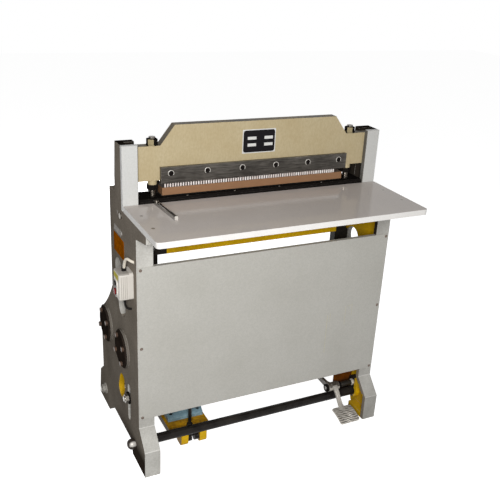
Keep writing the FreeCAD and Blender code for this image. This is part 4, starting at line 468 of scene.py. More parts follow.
coats = {
    "left_side_frame": "leftFrameEnamel", "right_side_frame": "rightFrameEnamel", "front_gibs": "postEnamel",
    "bearing_bushes": "castBronze", "bearing_caps": "bearingBlack", "cap_bolts": "brassedSteel",
    "bed_beam": "yellowEnamel", "rod_guides": "blackEnamel", "frame_bolts": "boltHead",
    "die_base": "blackenedSteel", "die_screws": "brightHead", "paper_backstop": "groundSteel",
    "stripper_plate": "coppered", "table_top": "laminate", "table_screws": "zincedSteel",
    "front_cover": "coverEnamel", "cover_screws": "brownedSteel", "crosshead": "creamEnamel",
    "clamp_plate": "groundSteel", "clamp_screws": "blackenedSteel", "punch_pins": "polishedSteelGlint",
    "nameplate": "plateAluminium", "pull_rods": "oiledRod", "rod_nuts": "blackedNut",
    "eccentric_yokes": "blackEnamel", "eccentric_shaft": "turnedSteel", "clutch_collar": "oiledIron",
    "main_gear": "oiledIron", "pinion": "turnedSteel", "countershaft": "turnedSteel", "flywheel": "oiledIron",
    "motor_pulley": "oiledIron", "motor_shaft": "turnedSteel", "drive_belts": "beltRubber",
    "motor_body": "blueEnamel", "motor_fan_cover": "blueEnamel", "terminal_box": "blueEnamel",
    "motor_tray": "trayEnamel", "motor_bolts": "zincedSteel", "tension_lugs": "lugEnamel",
    "tension_screw": "blackEnamel", "front_cross_bar": "blackEnamel", "cross_bar_nuts": "turnedSteel",
    "tie_rods": "turnedSteel", "tie_rod_nuts": "tieNut", "pedal_bracket": "bracketEnamel",
    "pedal_pivot": "pivotSteel", "foot_pedal": "castAluminium", "trip_link": "blackEnamel",
    "trip_lever": "blackEnamel", "return_spring": "springWire", "switch_base": "creamPlastic",
    "switch_cover": "creamPlastic", "start_button": "blackPlastic", "stop_button": "redPlastic",
    "supply_lead": "creamSheath", "motor_lead": "blackSheath", "switch_glands": "blackPlastic",
    "side_guide": "guideBar",
}
for node, coat in coats.items():
    nodes[node].data.materials.clear()
    nodes[node].data.materials.append(finishOf(coat))
print("coats", len(finishes), "nodes without one", sorted(set(nodes) - set(coats)))


# Shapes and pieces

def joinLoops(mesh, low, high):
    for k in range(len(low)):
        mesh.faces.new((low[k], low[(k + 1) % len(low)], high[(k + 1) % len(high)], high[k]))


def addLoft(mesh, rings):  # a closed body through rings of places
    made = [[mesh.verts.new(place) for place in ring] for ring in rings]
    for low, high in zip(made, made[1:]):
        joinLoops(mesh, low, high)
    mesh.faces.new(made[0][::-1])
    mesh.faces.new(made[-1])


def addPrism(mesh, outline, middle, across, upward, depth):  # an outline in mm, pushed along depth
    low = [middle + (across * u + upward * v) / 1000.0 for u, v in outline]
    addLoft(mesh, [low, [place + depth for place in low]])


def addTurned(mesh, start, axis, profile, around=24, closed=False):  # profile of (along, radius) in mm
    turn = Vector(axis).to_track_quat("Z", "Y")
    rings = []
    for along, radius in profile:
        count = around if radius > 0.0 else 1
        angles = [2.0 * math.pi * k / count for k in range(count)]
        rings.append([mesh.verts.new(start + turn @ mm(radius * math.cos(a), radius * math.sin(a), along))
                      for a in angles])
    for low, high in zip(rings, rings[1:] + rings[:1] if closed else rings[1:]):
        for k in range(around):
            ahead = k + 1
            corners = [low[k % len(low)], low[ahead % len(low)], high[ahead % len(high)], high[k % len(high)]]
            mesh.faces.new(list(dict.fromkeys(corners)))


def fillBetween(mesh, *loops):  # a flat face inside the first loop with the others left open
    edges = [mesh.edges.get(pair) or mesh.edges.new(pair)
             for loop in loops for pair in zip(loop, loop[1:] + loop[:1])]
    bmesh.ops.triangle_fill(mesh, use_beauty=True, edges=edges)


def arc(middle, radius, first, last, steps):  # places on an arc, from one angle to another in degrees
    angles = [math.radians(first + (last - first) * step / steps) for step in range(steps + 1)]
    return [(middle[0] + radius * math.cos(a), middle[1] + radius * math.sin(a)) for a in angles]


def circle(middle, radius, count=28):
    return arc(middle, radius, 0.0, 360.0, count)[:-1]


def roundedOutline(width, height, radius, steps=6):
    points = []
    for quarter, (u, v) in enumerate(((1, 1), (-1, 1), (-1, -1), (1, -1))):
        middle = (width / 2.0 - radius) * u, (height / 2.0 - radius) * v
        points += arc(middle, radius, 90.0 * quarter, 90.0 * quarter + 90.0, steps)
    return points


def meshData(name, mesh):  # a bmesh as mesh data, its faces turned outwards
    bmesh.ops.recalc_face_normals(mesh, faces=mesh.faces)
    data = bpy.data.meshes.new(name)
    mesh.to_mesh(data)
    mesh.free()
    return data


def placePiece(name, data, body, smooth, bevel, replaces):
    if smooth:
        data.shade_smooth()
        data.set_sharp_from_angle(angle=math.radians(smooth))
    piece = addObject(name, data)
    if bevel:
        rounding = piece.modifiers.new("rounding", "BEVEL")
        rounding.width = bevel / 1000.0
        rounding.segments = 3
        rounding.limit_method = "ANGLE"
    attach(piece, body)
    if replaces:
        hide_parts(replaces)


def makePiece(name, mesh, body, coat, smooth=None, bevel=0.0, replaces=None):
    data = meshData(name, mesh)
    data.materials.append(finishOf(coat))
    placePiece(name, data, body, smooth, bevel, replaces)


# Leads, along the same points as their solids, with a ribbed sleeve at each end

leads = {
    "supplyLead": {"node": "supply_lead", "radius": 4.5, "slot": "cream_lead", "coat": "creamSheath",
                   "sleeve": 6.0, "points": [
                       (-470, 60, 696), (-470, 57, 718), (-468, 41, 744), (-457, 26, 737), (-445, 24, 732),
                       (-420, 24, 732), (-406, 38, 731), (-404, 74, 728), (-405, 124, 724), (-404, 172, 722),
                       (-404, 210, 722)]},
    "motorLead": {"node": "motor_lead", "radius": 3.5, "slot": "black_lead", "coat": "blackSheath",
                  "sleeve": 20.0, "points": [
                      (-470, 60, 608), (-470, 60, 587), (-466, 58, 571), (-457, 54, 566), (-420, 54, 566),
                      (-410, 53, 556), (-404, 52, 528), (-405, 51, 478), (-403, 49, 423), (-405, 50, 363),
                      (-403, 53, 308), (-398, 68, 265), (-378, 96, 238), (-345, 128, 230), (-325, 165, 229),
                      (-300, 188, 229), (-280, 188, 229)]},
}
sleeveForm = {"rings": 22, "around": 20, "flare": 2.6, "rib": 0.55, "ribEvery": 3}


def makeCurve(name, points, radius):
    curve = bpy.data.curves.new(name, "CURVE")
    curve.dimensions = "3D"
    line = curve.splines.new("NURBS")
    line.points.add(len(points) - 1)
    for point, place in zip(line.points, points):
        point.co = (*place, 1.0)
        point.radius = radius  # Blender counts it into the curve's box, so it holds the real radius
    line.order_u = 3
    line.use_endpoint_u = True
    line.resolution_u = 12
    curve.bevel_depth = 1.0 if radius else 0.0
    curve.bevel_resolution = 5
    curve.use_fill_caps = True
    return addObject(name, curve)


def readLine(points):  # the places that the lead's own spline passes
    probe = makeCurve("probe", points, 0.0)
    flat = bpy.data.meshes.new_from_object(probe.evaluated_get(bpy.context.evaluated_depsgraph_get()))
    places = [v.co.copy() for v in flat.vertices]
    bpy.data.objects.remove(probe)
    return places


def addSleeve(name, places, leadRadius, length):  # strain relief, ribbed and tapered down to the lead
    mesh = bmesh.new()
    count, walked, previous = sleeveForm["around"], 0.0, None
    angles = [2.0 * math.pi * k / count for k in range(count)]
    stops = [length / 1000.0 * i / (sleeveForm["rings"] - 1) for i in range(sleeveForm["rings"])]
    for here, ahead in zip(places, places[1:]):
        step = (ahead - here).length
        while stops and stops[0] <= walked + step:
            at = stops.pop(0)
            centre = here.lerp(ahead, (at - walked) / step)
            turn = (ahead - here).to_track_quat("Z", "Y")
            ribbed = (sleeveForm["rings"] - len(stops)) % sleeveForm["ribEvery"] == 0
            radius = (leadRadius + sleeveForm["flare"] * (1.0 - at / (length / 1000.0))
                      + (sleeveForm["rib"] if ribbed else 0.0)) / 1000.0
            ring = [mesh.verts.new(centre + turn @ Vector((radius * math.cos(a), radius * math.sin(a), 0.0)))
                    for a in angles]
            if previous:
                joinLoops(mesh, previous, ring)
            previous = ring
        walked += step
    data = bpy.data.meshes.new(name)
    mesh.to_mesh(data)
    data.shade_smooth()
    return addObject(name, data)


for name, lead in leads.items():
    route = [spot(*place) for place in lead["points"]]
    piece = makeCurve(name, route, lead["radius"] / 1000.0)
    places = readLine(route)
    sleeves = [addSleeve(name + end, line, lead["radius"], lead["sleeve"])
               for end, line in (("ReliefOut", places), ("ReliefIn", places[::-1]))]
    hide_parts(lead["node"])
    for part in [piece] + sleeves:
        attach(part, "machine")
        part.data.materials.append(finishOf(lead["coat"] if part is piece else "blackPlastic"))
print("leads ready")

# Nameplate: black field with four bare label fields, held by rivets
plate = {"size": (116.0, 76.0), "rim": 3.0, "corner": 8.0, "at": (0.0, 138.8, 1042.0), "field": 0.3,
         "labels": [(-25.5, 10.0), (33.0, 10.0), (-25.5, -11.5), (33.0, -11.5)], "label": (30.0, 9.5, 1.0),
         "labelThick": 0.2, "rivetIn": 3.4, "rivet": [(-0.2, 0.0), (-0.2, 1.6), (0.3, 1.36), (0.8, 0.0)]}
plateWide, plateHigh = plate["size"]
plateX, plateY, plateZ = plate["at"]
mesh = bmesh.new()
addPrism(mesh, roundedOutline(plateWide - 2 * plate["rim"], plateHigh - 2 * plate["rim"], plate["corner"]),
         spot(*plate["at"]), right, up, forward * plate["field"] / 1000.0)
makePiece("nameplateField", mesh, "crosshead_unit", "plateBlack", smooth=30)
mesh = bmesh.new()
for u, v in plate["labels"]:
    addPrism(mesh, roundedOutline(*plate["label"], 3), spot(plateX + u, plateY - plate["field"], plateZ + v),
             right, up, forward * plate["labelThick"] / 1000.0)
makePiece("nameplateLabels", mesh, "crosshead_unit", "plateAluminium", smooth=30)
mesh = bmesh.new()
for u in (-1, 1):
    for v in (-1, 1):
        place = spot(plateX + u * (plateWide / 2 - plate["rivetIn"]), plateY,
                     plateZ + v * (plateHigh / 2 - plate["rivetIn"]))
        addTurned(mesh, place, forward, plate["rivet"], 16)
makePiece("nameplateRivets", mesh, "crosshead_unit", "brightHead", smooth=40)

# Bare plates: an orange and a small grey one on the left frame, a yellow one on the switch box
barePlates = {
    "orangePlate": {"x": -450.0, "y": (122.0, 231.0), "z": (697.0, 760.0), "thick": 0.6, "corner": (2.0, 4),
                    "slot": "copper_steel", "coat": "orangeFoil"},
    "greyPlate": {"x": -450.0, "y": (152.0, 226.0), "z": (766.0, 787.0), "thick": 0.6, "corner": (2.0, 4),
                  "slot": "bright_steel", "coat": "greyFoil"},
    "boxPlate": {"x": -494.0, "y": (40.0, 84.0), "z": (673.5, 690.5), "thick": 0.4, "corner": (1.5, 3),
                 "slot": "yellow_paint", "coat": "yellowFoil"},
}
for name, one in barePlates.items():
    (y, yEnd), (z, zEnd) = one["y"], one["z"]
    middle = spot(one["x"], (y + yEnd) / 2, (z + zEnd) / 2)
    mesh = bmesh.new()
    addPrism(mesh, roundedOutline(yEnd - y, zEnd - z, *one["corner"]), middle, rearward, up,
             left * one["thick"] / 1000.0)
    makePiece(name, mesh, "machine", one["coat"], smooth=30)
print("plates ready")


# Repeated parts, set out in a row by one node tree

def makeRowTree():
    tree = bpy.data.node_groups.new("partRow", "GeometryNodeTree")
    tree.interface.new_socket("Geometry", in_out="OUTPUT", socket_type="NodeSocketGeometry")
    for label, kind in (("part", "Object"), ("start", "Vector"), ("count", "Int"), ("step", "Vector"),
                        ("seed", "Int"), ("finish", "Material")):
        tree.interface.new_socket(label, in_out="INPUT", socket_type="NodeSocket" + kind)
    given = addNode(tree, "NodeGroupInput").outputs
    row = addNode(tree, "GeometryNodeMeshLine", {
        "Count": given["count"], "Start Location": given["start"], "Offset": given["step"]}, mode="OFFSET")
    part = addNode(tree, "GeometryNodeObjectInfo", {"Object": given["part"]})
    placed = addNode(tree, "GeometryNodeInstanceOnPoints", {
        "Points": row.outputs[0], "Instance": part.outputs["Geometry"]})
    shade = addNode(tree, "FunctionNodeRandomValue", {"Seed": given["seed"]}, data_type="FLOAT")
    shaded = addNode(tree, "GeometryNodeStoreNamedAttribute", {
        "Geometry": placed.outputs[0], "Name": "shade", "Value": shade.outputs[1]}, domain="INSTANCE")
    real = addNode(tree, "GeometryNodeRealizeInstances", {"Geometry": shaded.outputs[0]})
    dressed = addNode(tree, "GeometryNodeSetMaterial", {
        "Geometry": real.outputs[0], "Material": given["finish"]})
    addNode(tree, "NodeGroupOutput", {"Geometry": dressed.outputs[0]})
    return tree


def repeatPart(name, mesh, row, body, coat, replaces=None):
    single = addObject(name + "Single", meshData(name + "Single", mesh))
    holder = addObject(name + "Row", bpy.data.meshes.new(name + "Row"))
    modifier = holder.modifiers.new("row", "NODES")
    modifier.node_group = rowTree
    values = {"part": single, "start": spot(*row["first"]), "count": row["count"],
              "step": mm(row["pitch"], 0, 0), "seed": rowSeed, "finish": finishOf(coat)}
    for item in rowTree.interface.items_tree:
        if item.in_out == "INPUT":
            modifier[item.identifier] = values[item.name]
    data = bpy.data.meshes.new_from_object(holder.evaluated_get(bpy.context.evaluated_depsgraph_get()))
    for item in (single, holder):
        bpy.data.objects.remove(item)
    placePiece(name, data, body, 30, 0.0, replaces)


rowTree = makeRowTree()
rowSeed = 5  # fixed, so that each pin keeps its shade

# Punch pins: square, with broken edges
pins = {"count": 72, "first": (-311.57, 142.3, 0.0), "pitch": 8.4667, "size": 4.0, "broken": 0.25,
        "z": (894.5, 957.0)}
edge = pins["size"] / 2.0
flat = edge - pins["broken"]
outline = [(edge, flat), (flat, edge), (-flat, edge), (-edge, flat), (-edge, -flat), (-flat, -edge),
           (flat, -edge), (edge, -flat)]
mesh = bmesh.new()
addLoft(mesh, [[mm(x, y, z) for x, y in outline] for z in pins["z"]])
# the pins are painted near white as their highlight
repeatPart("punchPins", mesh, pins, "crosshead_unit", "polishedSteelGlint", replaces="punch_pins")

# Split lock rings round the clamp screws' heads, bright and open below, so that they also draw the highlight
# on the heads' upper rims
rings = {"count": 6, "first": (-297.5, 127.5, 963.0), "pitch": 119.0, "radius": 8.9, "wire": 1.1,
         "open": (-35.0, 235.0), "steps": 30, "around": 8}
mesh = bmesh.new()
loft = []
for across, high in arc((0.0, 0.0), rings["radius"], *rings["open"], rings["steps"]):
    centre = mm(across, 0.0, high)
    outward = centre.normalized()
    loft.append([centre + (outward * u + rearward * v) / 1000.0
                 for u, v in circle((0.0, 0.0), rings["wire"], rings["around"])])
addLoft(mesh, loft)
repeatPart("clampRings", mesh, rings, "crosshead_unit", "brightHead")

# Bright tab at the guide's front end
tab = {"pivot": (-350.0, 108.0), "angle": 3.6, "end": -145.6, "size": (10.0, 12.6), "corner": (2.5, 4),
       "thick": 2.4, "low": 875.5}
turn = Matrix.Rotation(math.radians(tab["angle"]), 3, "Z")
middle = spot(*tab["pivot"], tab["low"] + tab["size"][1] / 2) + turn @ mm(0, tab["end"], 0)
mesh = bmesh.new()
addPrism(mesh, roundedOutline(*tab["size"], *tab["corner"]), middle, turn @ right, up,
         turn @ mm(0, -tab["thick"], 0))
makePiece("guideTab", mesh, "guide_unit", "brightHead", bevel=0.5)

# Fine ribs on the switch cover's side
ribs = {"count": 4, "first": (-487.0, 30.0, 652.0), "pitch": 5.6, "half": 0.8, "proud": 1.3, "sunk": 0.4,
        "shoulder": (0.7, 0.8), "length": 36.0}
shoulderX, shoulderY = ribs["half"] * ribs["shoulder"][0], -ribs["proud"] * ribs["shoulder"][1]
outline = [(-ribs["half"], ribs["sunk"]), (-shoulderX, shoulderY), (0.0, -ribs["proud"]),
           (shoulderX, shoulderY), (ribs["half"], ribs["sunk"])]
mesh = bmesh.new()
addLoft(mesh, [[mm(x, y, z) for x, y in outline] for z in (-ribs["length"], ribs["length"])])
repeatPart("coverRibs", mesh, ribs, "machine", "ribPlastic")
print("rows ready")

# Table board: laminated top, white band round it, corners rounded to the hand
table = {"half": 450.0, "ends": (-185.0, 121.6), "z": (857.0, 875.0), "rear": 4.0, "front": 12.0, "steps": 8,
         "screws": [(x, y) for x in (-424.0, 424.0) for y in (-78.0, 28.0)], "screw": 5.0,
         "pivot": (-350.0, 108.0), "pivotBore": 3.0, "bevel": 0.7}
tableFront, tableBack = table["ends"]
outline = []
for quarter, side in enumerate((1, -1, -1, 1)):
    corner = table["rear"] if quarter < 2 else table["front"]
    middleY = tableBack - corner if quarter < 2 else tableFront + corner
    outline += arc((side * (table["half"] - corner), middleY), corner, 90.0 * quarter, 90.0 * quarter + 90.0,
                   table["steps"])
bores = [circle(at, table["screw"]) for at in table["screws"]] + [circle(table["pivot"], table["pivotBore"])]
mesh = bmesh.new()
made = [[[mesh.verts.new(spot(x, y, z)) for x, y in loop] for loop in [outline] + bores] for z in table["z"]]
for low, high in zip(*made):
    joinLoops(mesh, low, high)
for level in made:
    fillBetween(mesh, *level)
makePiece("tableBoard", mesh, "machine", "laminate", bevel=table["bevel"], replaces="table_top")

# Switch cover: moulded shell with soft edges, raised bezel, wells for the two buttons
cover = {"back": -462.0, "face": -494.0, "bezel": -498.0, "floor": -484.0, "size": (60.0, 88.0),
         "corner": 8.0, "round": 4.0, "steps": 5, "middle": (60.0, 652.0),
         "window": (34.0, 58.0), "windowAt": (60.0, 643.0),
         "rim": [(1.2, 0.0), (0.35, 0.35), (0.0, 1.2)], "wells": [(60.0, 659.0, 8.35), (60.0, 632.0, 10.85)]}


def addSideLoop(mesh, points, middle, x):
    return [mesh.verts.new(spot(x, middle[0] + u, middle[1] + v)) for u, v in points]


mesh = bmesh.new()
levels = [(cover["back"], 0.0)]
levels += [(cover["face"] + cover["round"] - u, cover["round"] - v)
           for v, u in arc((0.0, 0.0), cover["round"], 0.0, 90.0, cover["steps"])]
loops = []
for x, inset in levels:
    wide, tall = (length - 2.0 * inset for length in cover["size"])
    loops.append(addSideLoop(mesh, roundedOutline(wide, tall, cover["corner"] - inset), cover["middle"], x))
for low, high in zip(loops, loops[1:]):
    joinLoops(mesh, low, high)
mesh.faces.new(loops[0])
rims = []
for x, inset in [(cover["face"], 0.0)] + [(cover["bezel"] + sunk, inset) for sunk, inset in cover["rim"]]:
    wide, tall = (length - 2.0 * inset for length in cover["window"])
    rims.append(addSideLoop(mesh, roundedOutline(wide, tall, wide / 2.0 - 0.01, 10), cover["windowAt"], x))
for low, high in zip(rims, rims[1:]):
    joinLoops(mesh, low, high)
fillBetween(mesh, loops[-1], rims[0])
mouths = []
for y, z, radius in cover["wells"]:
    mouth, base = (addSideLoop(mesh, circle((0.0, 0.0), radius), (y, z), x)
                   for x in (cover["bezel"], cover["floor"]))
    joinLoops(mesh, mouth, base)
    mesh.faces.new(base)
    mouths.append(mouth)
fillBetween(mesh, rims[-1], *mouths)
makePiece("switchCover", mesh, "machine", "coverPlastic", smooth=35, replaces="switch_cover")

# Lugs of the tension screw, rounded below and cradling the bar, with the pin and its grooved sleeves
lug = {"ranges": [(-289.0, -263.0), (-221.0, -195.0)],
       "heel": ((51.0, 21.0), 13.0), "belly": ((70.0, 34.0), 26.0),
       "tip": [(92.0, 39.0), (66.0, 44.0), (65.9, 60.0)], "cradle": ((50.0, 62.0), 16.05, -20.0, -137.6)}
lugPin = {"x": (-292.0, -192.0), "at": (82.0, 22.0), "radius": 5.0, "edge": 0.8,
          "sleeves": [(-262.9, -247.0), (-237.0, -221.1)], "sleeveAt": (57.0, 26.5), "sleeveRadius": 13.5,
          "groove": 1.2}
outline = (arc(*lug["heel"], 180.0, 270.0, 6) + arc(*lug["belly"], 270.0, 360.0, 8) + lug["tip"]
           + arc(*lug["cradle"], 12))
mesh = bmesh.new()
for span in lug["ranges"]:
    addLoft(mesh, [[spot(x, u, v) for u, v in outline] for x in span])
makePiece("tensionLugs", mesh, "machine", "lugEnamel", bevel=1.6, replaces="tension_lugs")
mesh = bmesh.new()
low, high = lugPin["x"]
long, radius, edge = high - low, lugPin["radius"], lugPin["edge"]
addTurned(mesh, spot(low, *lugPin["at"]), right, [
    (0.0, 0.0), (0.0, radius - edge), (edge, radius), (long - edge, radius), (long, radius - edge),
    (long, 0.0)])
for low, high in lugPin["sleeves"]:
    long, radius = high - low, lugPin["sleeveRadius"]
    grooved = [(long * k / 12, radius - (lugPin["groove"] if k % 3 == 2 else 0.0)) for k in range(1, 12)]
    addTurned(mesh, spot(low, *lugPin["sleeveAt"]), right,
              [(0.0, 0.0), (0.0, radius)] + grooved + [(long, radius), (long, 0.0)])
makePiece("tensionPin", mesh, "machine", "blackEnamel", smooth=40)
print("table, cover and lugs ready")


# Foot pedal: one casting, arm and foot plate with wavy ribs, hub and rear arm for the link

pedal = {"pivot": (54.0, 98.0), "hub": (302.0, 346.0, 17.0, 8.06), "eye": (302.0, 318.0, 11.0, 4.06),
         "reach": 96.0, "edge": 1.2, "middle": 324.0,
         "rearArm": [(12.0, 8.0, 13.0), (24.0, 6.0, 10.5), (76.0, 5.0, 9.0), (89.0, 6.0, 8.5)],
         "arm": [((50, 111), 11.5, 6.0), ((34, 103), 10.0, 6.0), ((18, 88), 9.0, 6.0), ((4, 70), 8.5, 5.5),
                 ((-8, 57), 9.0, 5.0), ((-20, 49), 11.0, 4.0), ((-32, 45), 13.0, 2.5)]}
foot = {"back": (-15.0, 50.0), "front": (-88.0, 32.0), "width": 80.0, "under": 5.5, "bow": 4.5, "sunk": 1.0,
        "grid": (96, 72), "rib": 2.2, "pitch": 9.0, "slant": 24.0, "sway": (3.4, 10.0, 21.0),
        "ripple": (1.3, 4.6, 9.0), "corner": (8.0, 4.0, 2.5), "flat": 3.0}


def addEye(mesh, low, high, radius, bore, y, z):  # a boss along x with a bore through it
    long, edge = high - low, pedal["edge"]
    addTurned(mesh, spot(low, y, z), right, [
        (0.0, bore), (0.0, radius - edge), (edge, radius), (long - edge, radius), (long, radius - edge),
        (long, bore)], 32, closed=True)


def addArm(mesh):  # from the hub down to the plate, thinning on its way
    loft, centres = [], [centre for centre, half, thick in pedal["arm"]]
    for i, (centre, half, thick) in enumerate(pedal["arm"]):
        ahead, behind = centres[min(i + 1, len(centres) - 1)], centres[max(i - 1, 0)]
        run = Vector((0.0, ahead[0] - behind[0], ahead[1] - behind[1])).normalized()
        across = run.cross(right)
        loft.append([spot(pedal["middle"], *centre) + (right * half * u + across * thick * v) / 1000.0
                     for u, v in ((-1, -0.5), (-1, 0.5), (-0.75, 1), (0.75, 1), (1, 0.5), (1, -0.5),
                                  (0.75, -1), (-0.75, -1))])
    addLoft(mesh, loft)


def shapeFoot(x, share, length):  # a point's place along the plate, its height and its depth between ribs
    reach, deep, power = foot["corner"]
    cut = deep * (max(0.0, abs(x) - foot["width"] / 2 + reach) / reach) ** power
    along = min(max(share * length, cut), length - cut)
    slant = math.radians(foot["slant"])
    wave = along * math.cos(slant) - x * math.sin(slant)
    wave += foot["sway"][0] * math.sin(x / foot["sway"][1] + along / foot["sway"][2])
    wave += foot["ripple"][0] * math.sin(x / foot["ripple"][1] - along / foot["ripple"][2])
    crest = 0.5 + 0.5 * math.cos(2.0 * math.pi * wave / foot["pitch"])
    flat, side = foot["flat"], foot["width"] / 2 - abs(x)  # the ribs run out towards the rim
    inner = max(0.0, min(1.0, side / flat) * min(1.0, along / flat, (length - along) / flat))
    rise = foot["rib"] * (crest ** 0.7 if inner > 0.0 else 0.6) * (0.4 + 0.6 * inner)
    return along, rise, min(1.0, inner * 1.3 * (1.0 - crest) ** 3.0)


def addFootPlate(mesh, hollow):
    back, front = Vector((0.0, *foot["back"])), Vector((0.0, *foot["front"]))
    length, slope = (front - back).length, (front - back).normalized()
    lift = slope.cross(right)
    columns, lines = foot["grid"]
    top, under = [], []
    for j in range(lines + 1):
        bow = foot["bow"] * math.sin(math.pi * min(1.0, 0.05 + j / lines)) - foot["sunk"]
        for i in range(columns + 1):
            x = (i / columns - 0.5) * foot["width"]
            along, rise, depth = shapeFoot(x, j / lines, length)
            base = spot(pedal["middle"] + x, 0, 0) + (back + slope * along) / 1000.0
            top.append(mesh.verts.new(base + lift * (bow + rise) / 1000.0))
            top[-1][hollow] = depth
            under.append(mesh.verts.new(base + lift * (bow - foot["under"]) / 1000.0))
    wide = columns + 1
    for j in range(lines):
        for k in range(j * wide, j * wide + columns):
            mesh.faces.new((top[k], top[k + 1], top[k + 1 + wide], top[k + wide]))
            mesh.faces.new((under[k], under[k + wide], under[k + 1 + wide], under[k + 1]))
    rim = list(range(wide)) + [j * wide + columns for j in range(1, lines + 1)]
    rim += [lines * wide + i for i in range(columns - 1, -1, -1)]
    rim += [j * wide for j in range(lines - 1, 0, -1)]
    joinLoops(mesh, [under[k] for k in rim], [top[k] for k in rim])


mesh = bmesh.new()
hollow = mesh.verts.layers.float.new("hollow")  # how deep a point lies between the ribs
pivotY, pivotZ = pedal["pivot"]
addEye(mesh, *pedal["hub"], pivotY, pivotZ)
addEye(mesh, *pedal["eye"], pivotY + pedal["reach"], pivotZ)
middleX = sum(pedal["eye"][:2]) / 2
addLoft(mesh, [[spot(middleX + half * u, pivotY + y, pivotZ + tall * v) for u, v in
                ((-1, -1), (-1, 1), (1, 1), (1, -1))] for y, half, tall in pedal["rearArm"]])
addArm(mesh)
addFootPlate(mesh, hollow)
makePiece("footPedal", mesh, "pedal_unit", "footCasting", smooth=42, replaces="foot_pedal")
print("pedal ready")

# Ball-shaped nuts on the cross bar's ends, their bores as deep as the bar reaches in
ball = {"at": (50.0, 62.0), "seat": 450.0, "around": 36, "profile": [
    (12.4, 0.0), (12.4, 12.1), (0.0, 12.1), (0.0, 15.8), (3.0, 17.6), (8.0, 18.6), (14.0, 18.2), (19.0, 16.2),
    (23.0, 12.4), (25.4, 7.0), (26.0, 0.0)]}
mesh = bmesh.new()
for sign in (-1, 1):
    addTurned(mesh, spot(sign * ball["seat"], *ball["at"]), (sign, 0, 0), ball["profile"], ball["around"])
# their bright band and dark rim are painted light and shade
makePiece("barNuts", mesh, "machine", "domedNutShaded", smooth=40, replaces="cross_bar_nuts")

# Guard sheet behind the pedal's pivot, coloured as painted shade: yellow darkened to brown, darker still
# below
guard = {"x": (348.0, 430.0), "y": (88.0, 92.0), "z": (46.0, 150.0), "corner": (5.0, 5)}
(x, xEnd), (y, yEnd), (z, zEnd) = guard["x"], guard["y"], guard["z"]
mesh = bmesh.new()
addPrism(mesh, roundedOutline(xEnd - x, zEnd - z, *guard["corner"]), spot((x + xEnd) / 2, y, (z + zEnd) / 2),
         right, up, mm(0, yEnd - y, 0))
makePiece("pedalGuard", mesh, "machine", "guardShadeEnamel", bevel=0.8)

# Spacer sleeve and nut on the pedal's pivot, as (along, radius)
onPivot = {"sleeveAt": 347.0, "sleeve": [(0.0, 8.02), (0.0, 9.6), (0.8, 10.4), (56.2, 10.4), (57.0, 9.6),
                                         (57.0, 8.02)],
           "nutAt": 404.5, "nut": [(0.0, 8.02), (0.0, 11.2), (1.2, 12.6), (9.2, 12.6), (9.2, 8.02)]}
mesh = bmesh.new()
addTurned(mesh, spot(onPivot["sleeveAt"], *pedal["pivot"]), right, onPivot["sleeve"], closed=True)
makePiece("pivotSleeve", mesh, "machine", "groundSteel", smooth=40)
mesh = bmesh.new()
addTurned(mesh, spot(onPivot["nutAt"], *pedal["pivot"]), right, onPivot["nut"], 6, closed=True)
makePiece("pivotNut", mesh, "machine", "brightHead", bevel=0.4)

# Blocks at the stripper's ends
blocks = {"y": (176.0, 204.0), "outline": [
    (322.6, 886.7), (346.0, 886.7), (346.0, 932.0), (318.0, 932.0), (318.0, 916.2), (322.6, 916.2)]}
mesh = bmesh.new()
for sign in (-1, 1):
    addLoft(mesh, [[spot(sign * x, y, z) for x, z in blocks["outline"]] for y in blocks["y"]])
makePiece("stripperBlocks", mesh, "machine", "blackenedSteel", bevel=1.0)
print("nuts, guard and blocks ready")


# Floor and light. What the camera and glossy surfaces see is nearly white, what lights the object is less

studio = {"reach": 9.0, "floorBounce": 0.34, "floorSeen": 0.92, "floorGlow": 0.85, "skyLight": 0.14,
          "skySeen": 1.0}


def addSeen(tree):  # 1 for the camera's rays and for those that metal or glass sends on
    ray = addNode(tree, "ShaderNodeLightPath").outputs
    seen = addNode(tree, "ShaderNodeMath", {0: ray["Is Camera Ray"], 1: ray["Is Glossy Ray"]},
                   operation="MAXIMUM").outputs[0]
    return addNode(tree, "ShaderNodeMath", {0: seen, 1: ray["Is Transmission Ray"]},
                   operation="MAXIMUM").outputs[0]


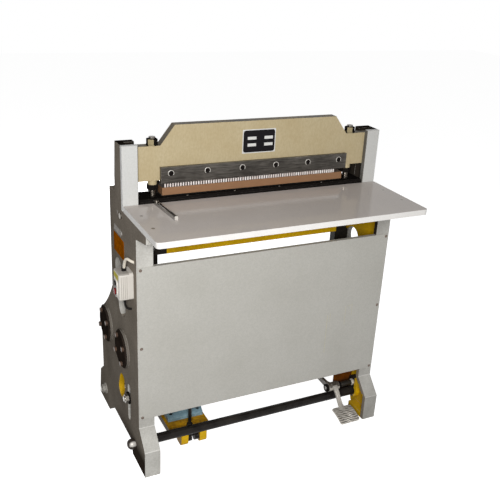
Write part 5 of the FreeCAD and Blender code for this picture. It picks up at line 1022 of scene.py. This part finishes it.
floorMesh = bpy.data.meshes.new("floor")
reach = studio["reach"]
floorMesh.from_pydata([(-reach, -reach, 0), (reach, -reach, 0), (reach, reach, 0), (-reach, reach, 0)], [],
                      [(0, 1, 2, 3)])
addObject("floor", floorMesh)
floorPaint = bpy.data.materials.new("studioFloor")
floorPaint.use_nodes = True
tree = floorPaint.node_tree
tree.nodes.clear()
seen = addSeen(tree)
tone = addNode(tree, "ShaderNodeMix", {0: seen, 6: [studio["floorBounce"]] * 3 + [1.0],
                                       7: [studio["floorSeen"]] * 3 + [1.0]}, data_type="RGBA").outputs[2]
matte = addNode(tree, "ShaderNodeBsdfDiffuse", {0: tone})
glow = addNode(tree, "ShaderNodeMath", {0: seen, 1: studio["floorGlow"]}, operation="MULTIPLY").outputs[0]
glow = addNode(tree, "ShaderNodeEmission", {"Strength": glow})
both = addNode(tree, "ShaderNodeAddShader", {0: matte.outputs[0], 1: glow.outputs[0]})
addNode(tree, "ShaderNodeOutputMaterial", {0: both.outputs[0]})
floorMesh.materials.append(floorPaint)

world = bpy.data.worlds.new("studio")
scene.world = world
world.use_nodes = True
tree = world.node_tree
tree.nodes.clear()
strength = addNode(tree, "ShaderNodeMix", {0: addSeen(tree), 2: studio["skyLight"],
                                           3: studio["skySeen"]}).outputs[0]
sky = addNode(tree, "ShaderNodeBackground", {"Strength": strength, "Color": [1.0, 1.0, 1.0, 1.0]})
addNode(tree, "ShaderNodeOutputWorld", {0: sky.outputs[0]})

lamps = {
    "softKey": {"at": (-1.05, -2.2, 1.62), "aim": (0.0, -0.1, 0.55), "size": 0.9, "power": 65.0,
                "glossy": True},
    "rearFill": {"at": (0.9, 2.8, 0.75), "aim": (0.0, 0.1, 0.55), "size": 1.2, "power": 26.0,
                 "glossy": False},
}
for name, lamp in lamps.items():
    data = bpy.data.lights.new(name, "AREA")
    data.shape = "SQUARE"
    data.size = lamp["size"]
    data.energy = lamp["power"]
    light = addObject(name, data)
    light.visible_glossy = lamp["glossy"]
    light.location = lamp["at"]
    light.rotation_euler = (Vector(lamp["aim"]) - Vector(lamp["at"])).to_track_quat("-Z", "Y").to_euler()
print("studio ready")
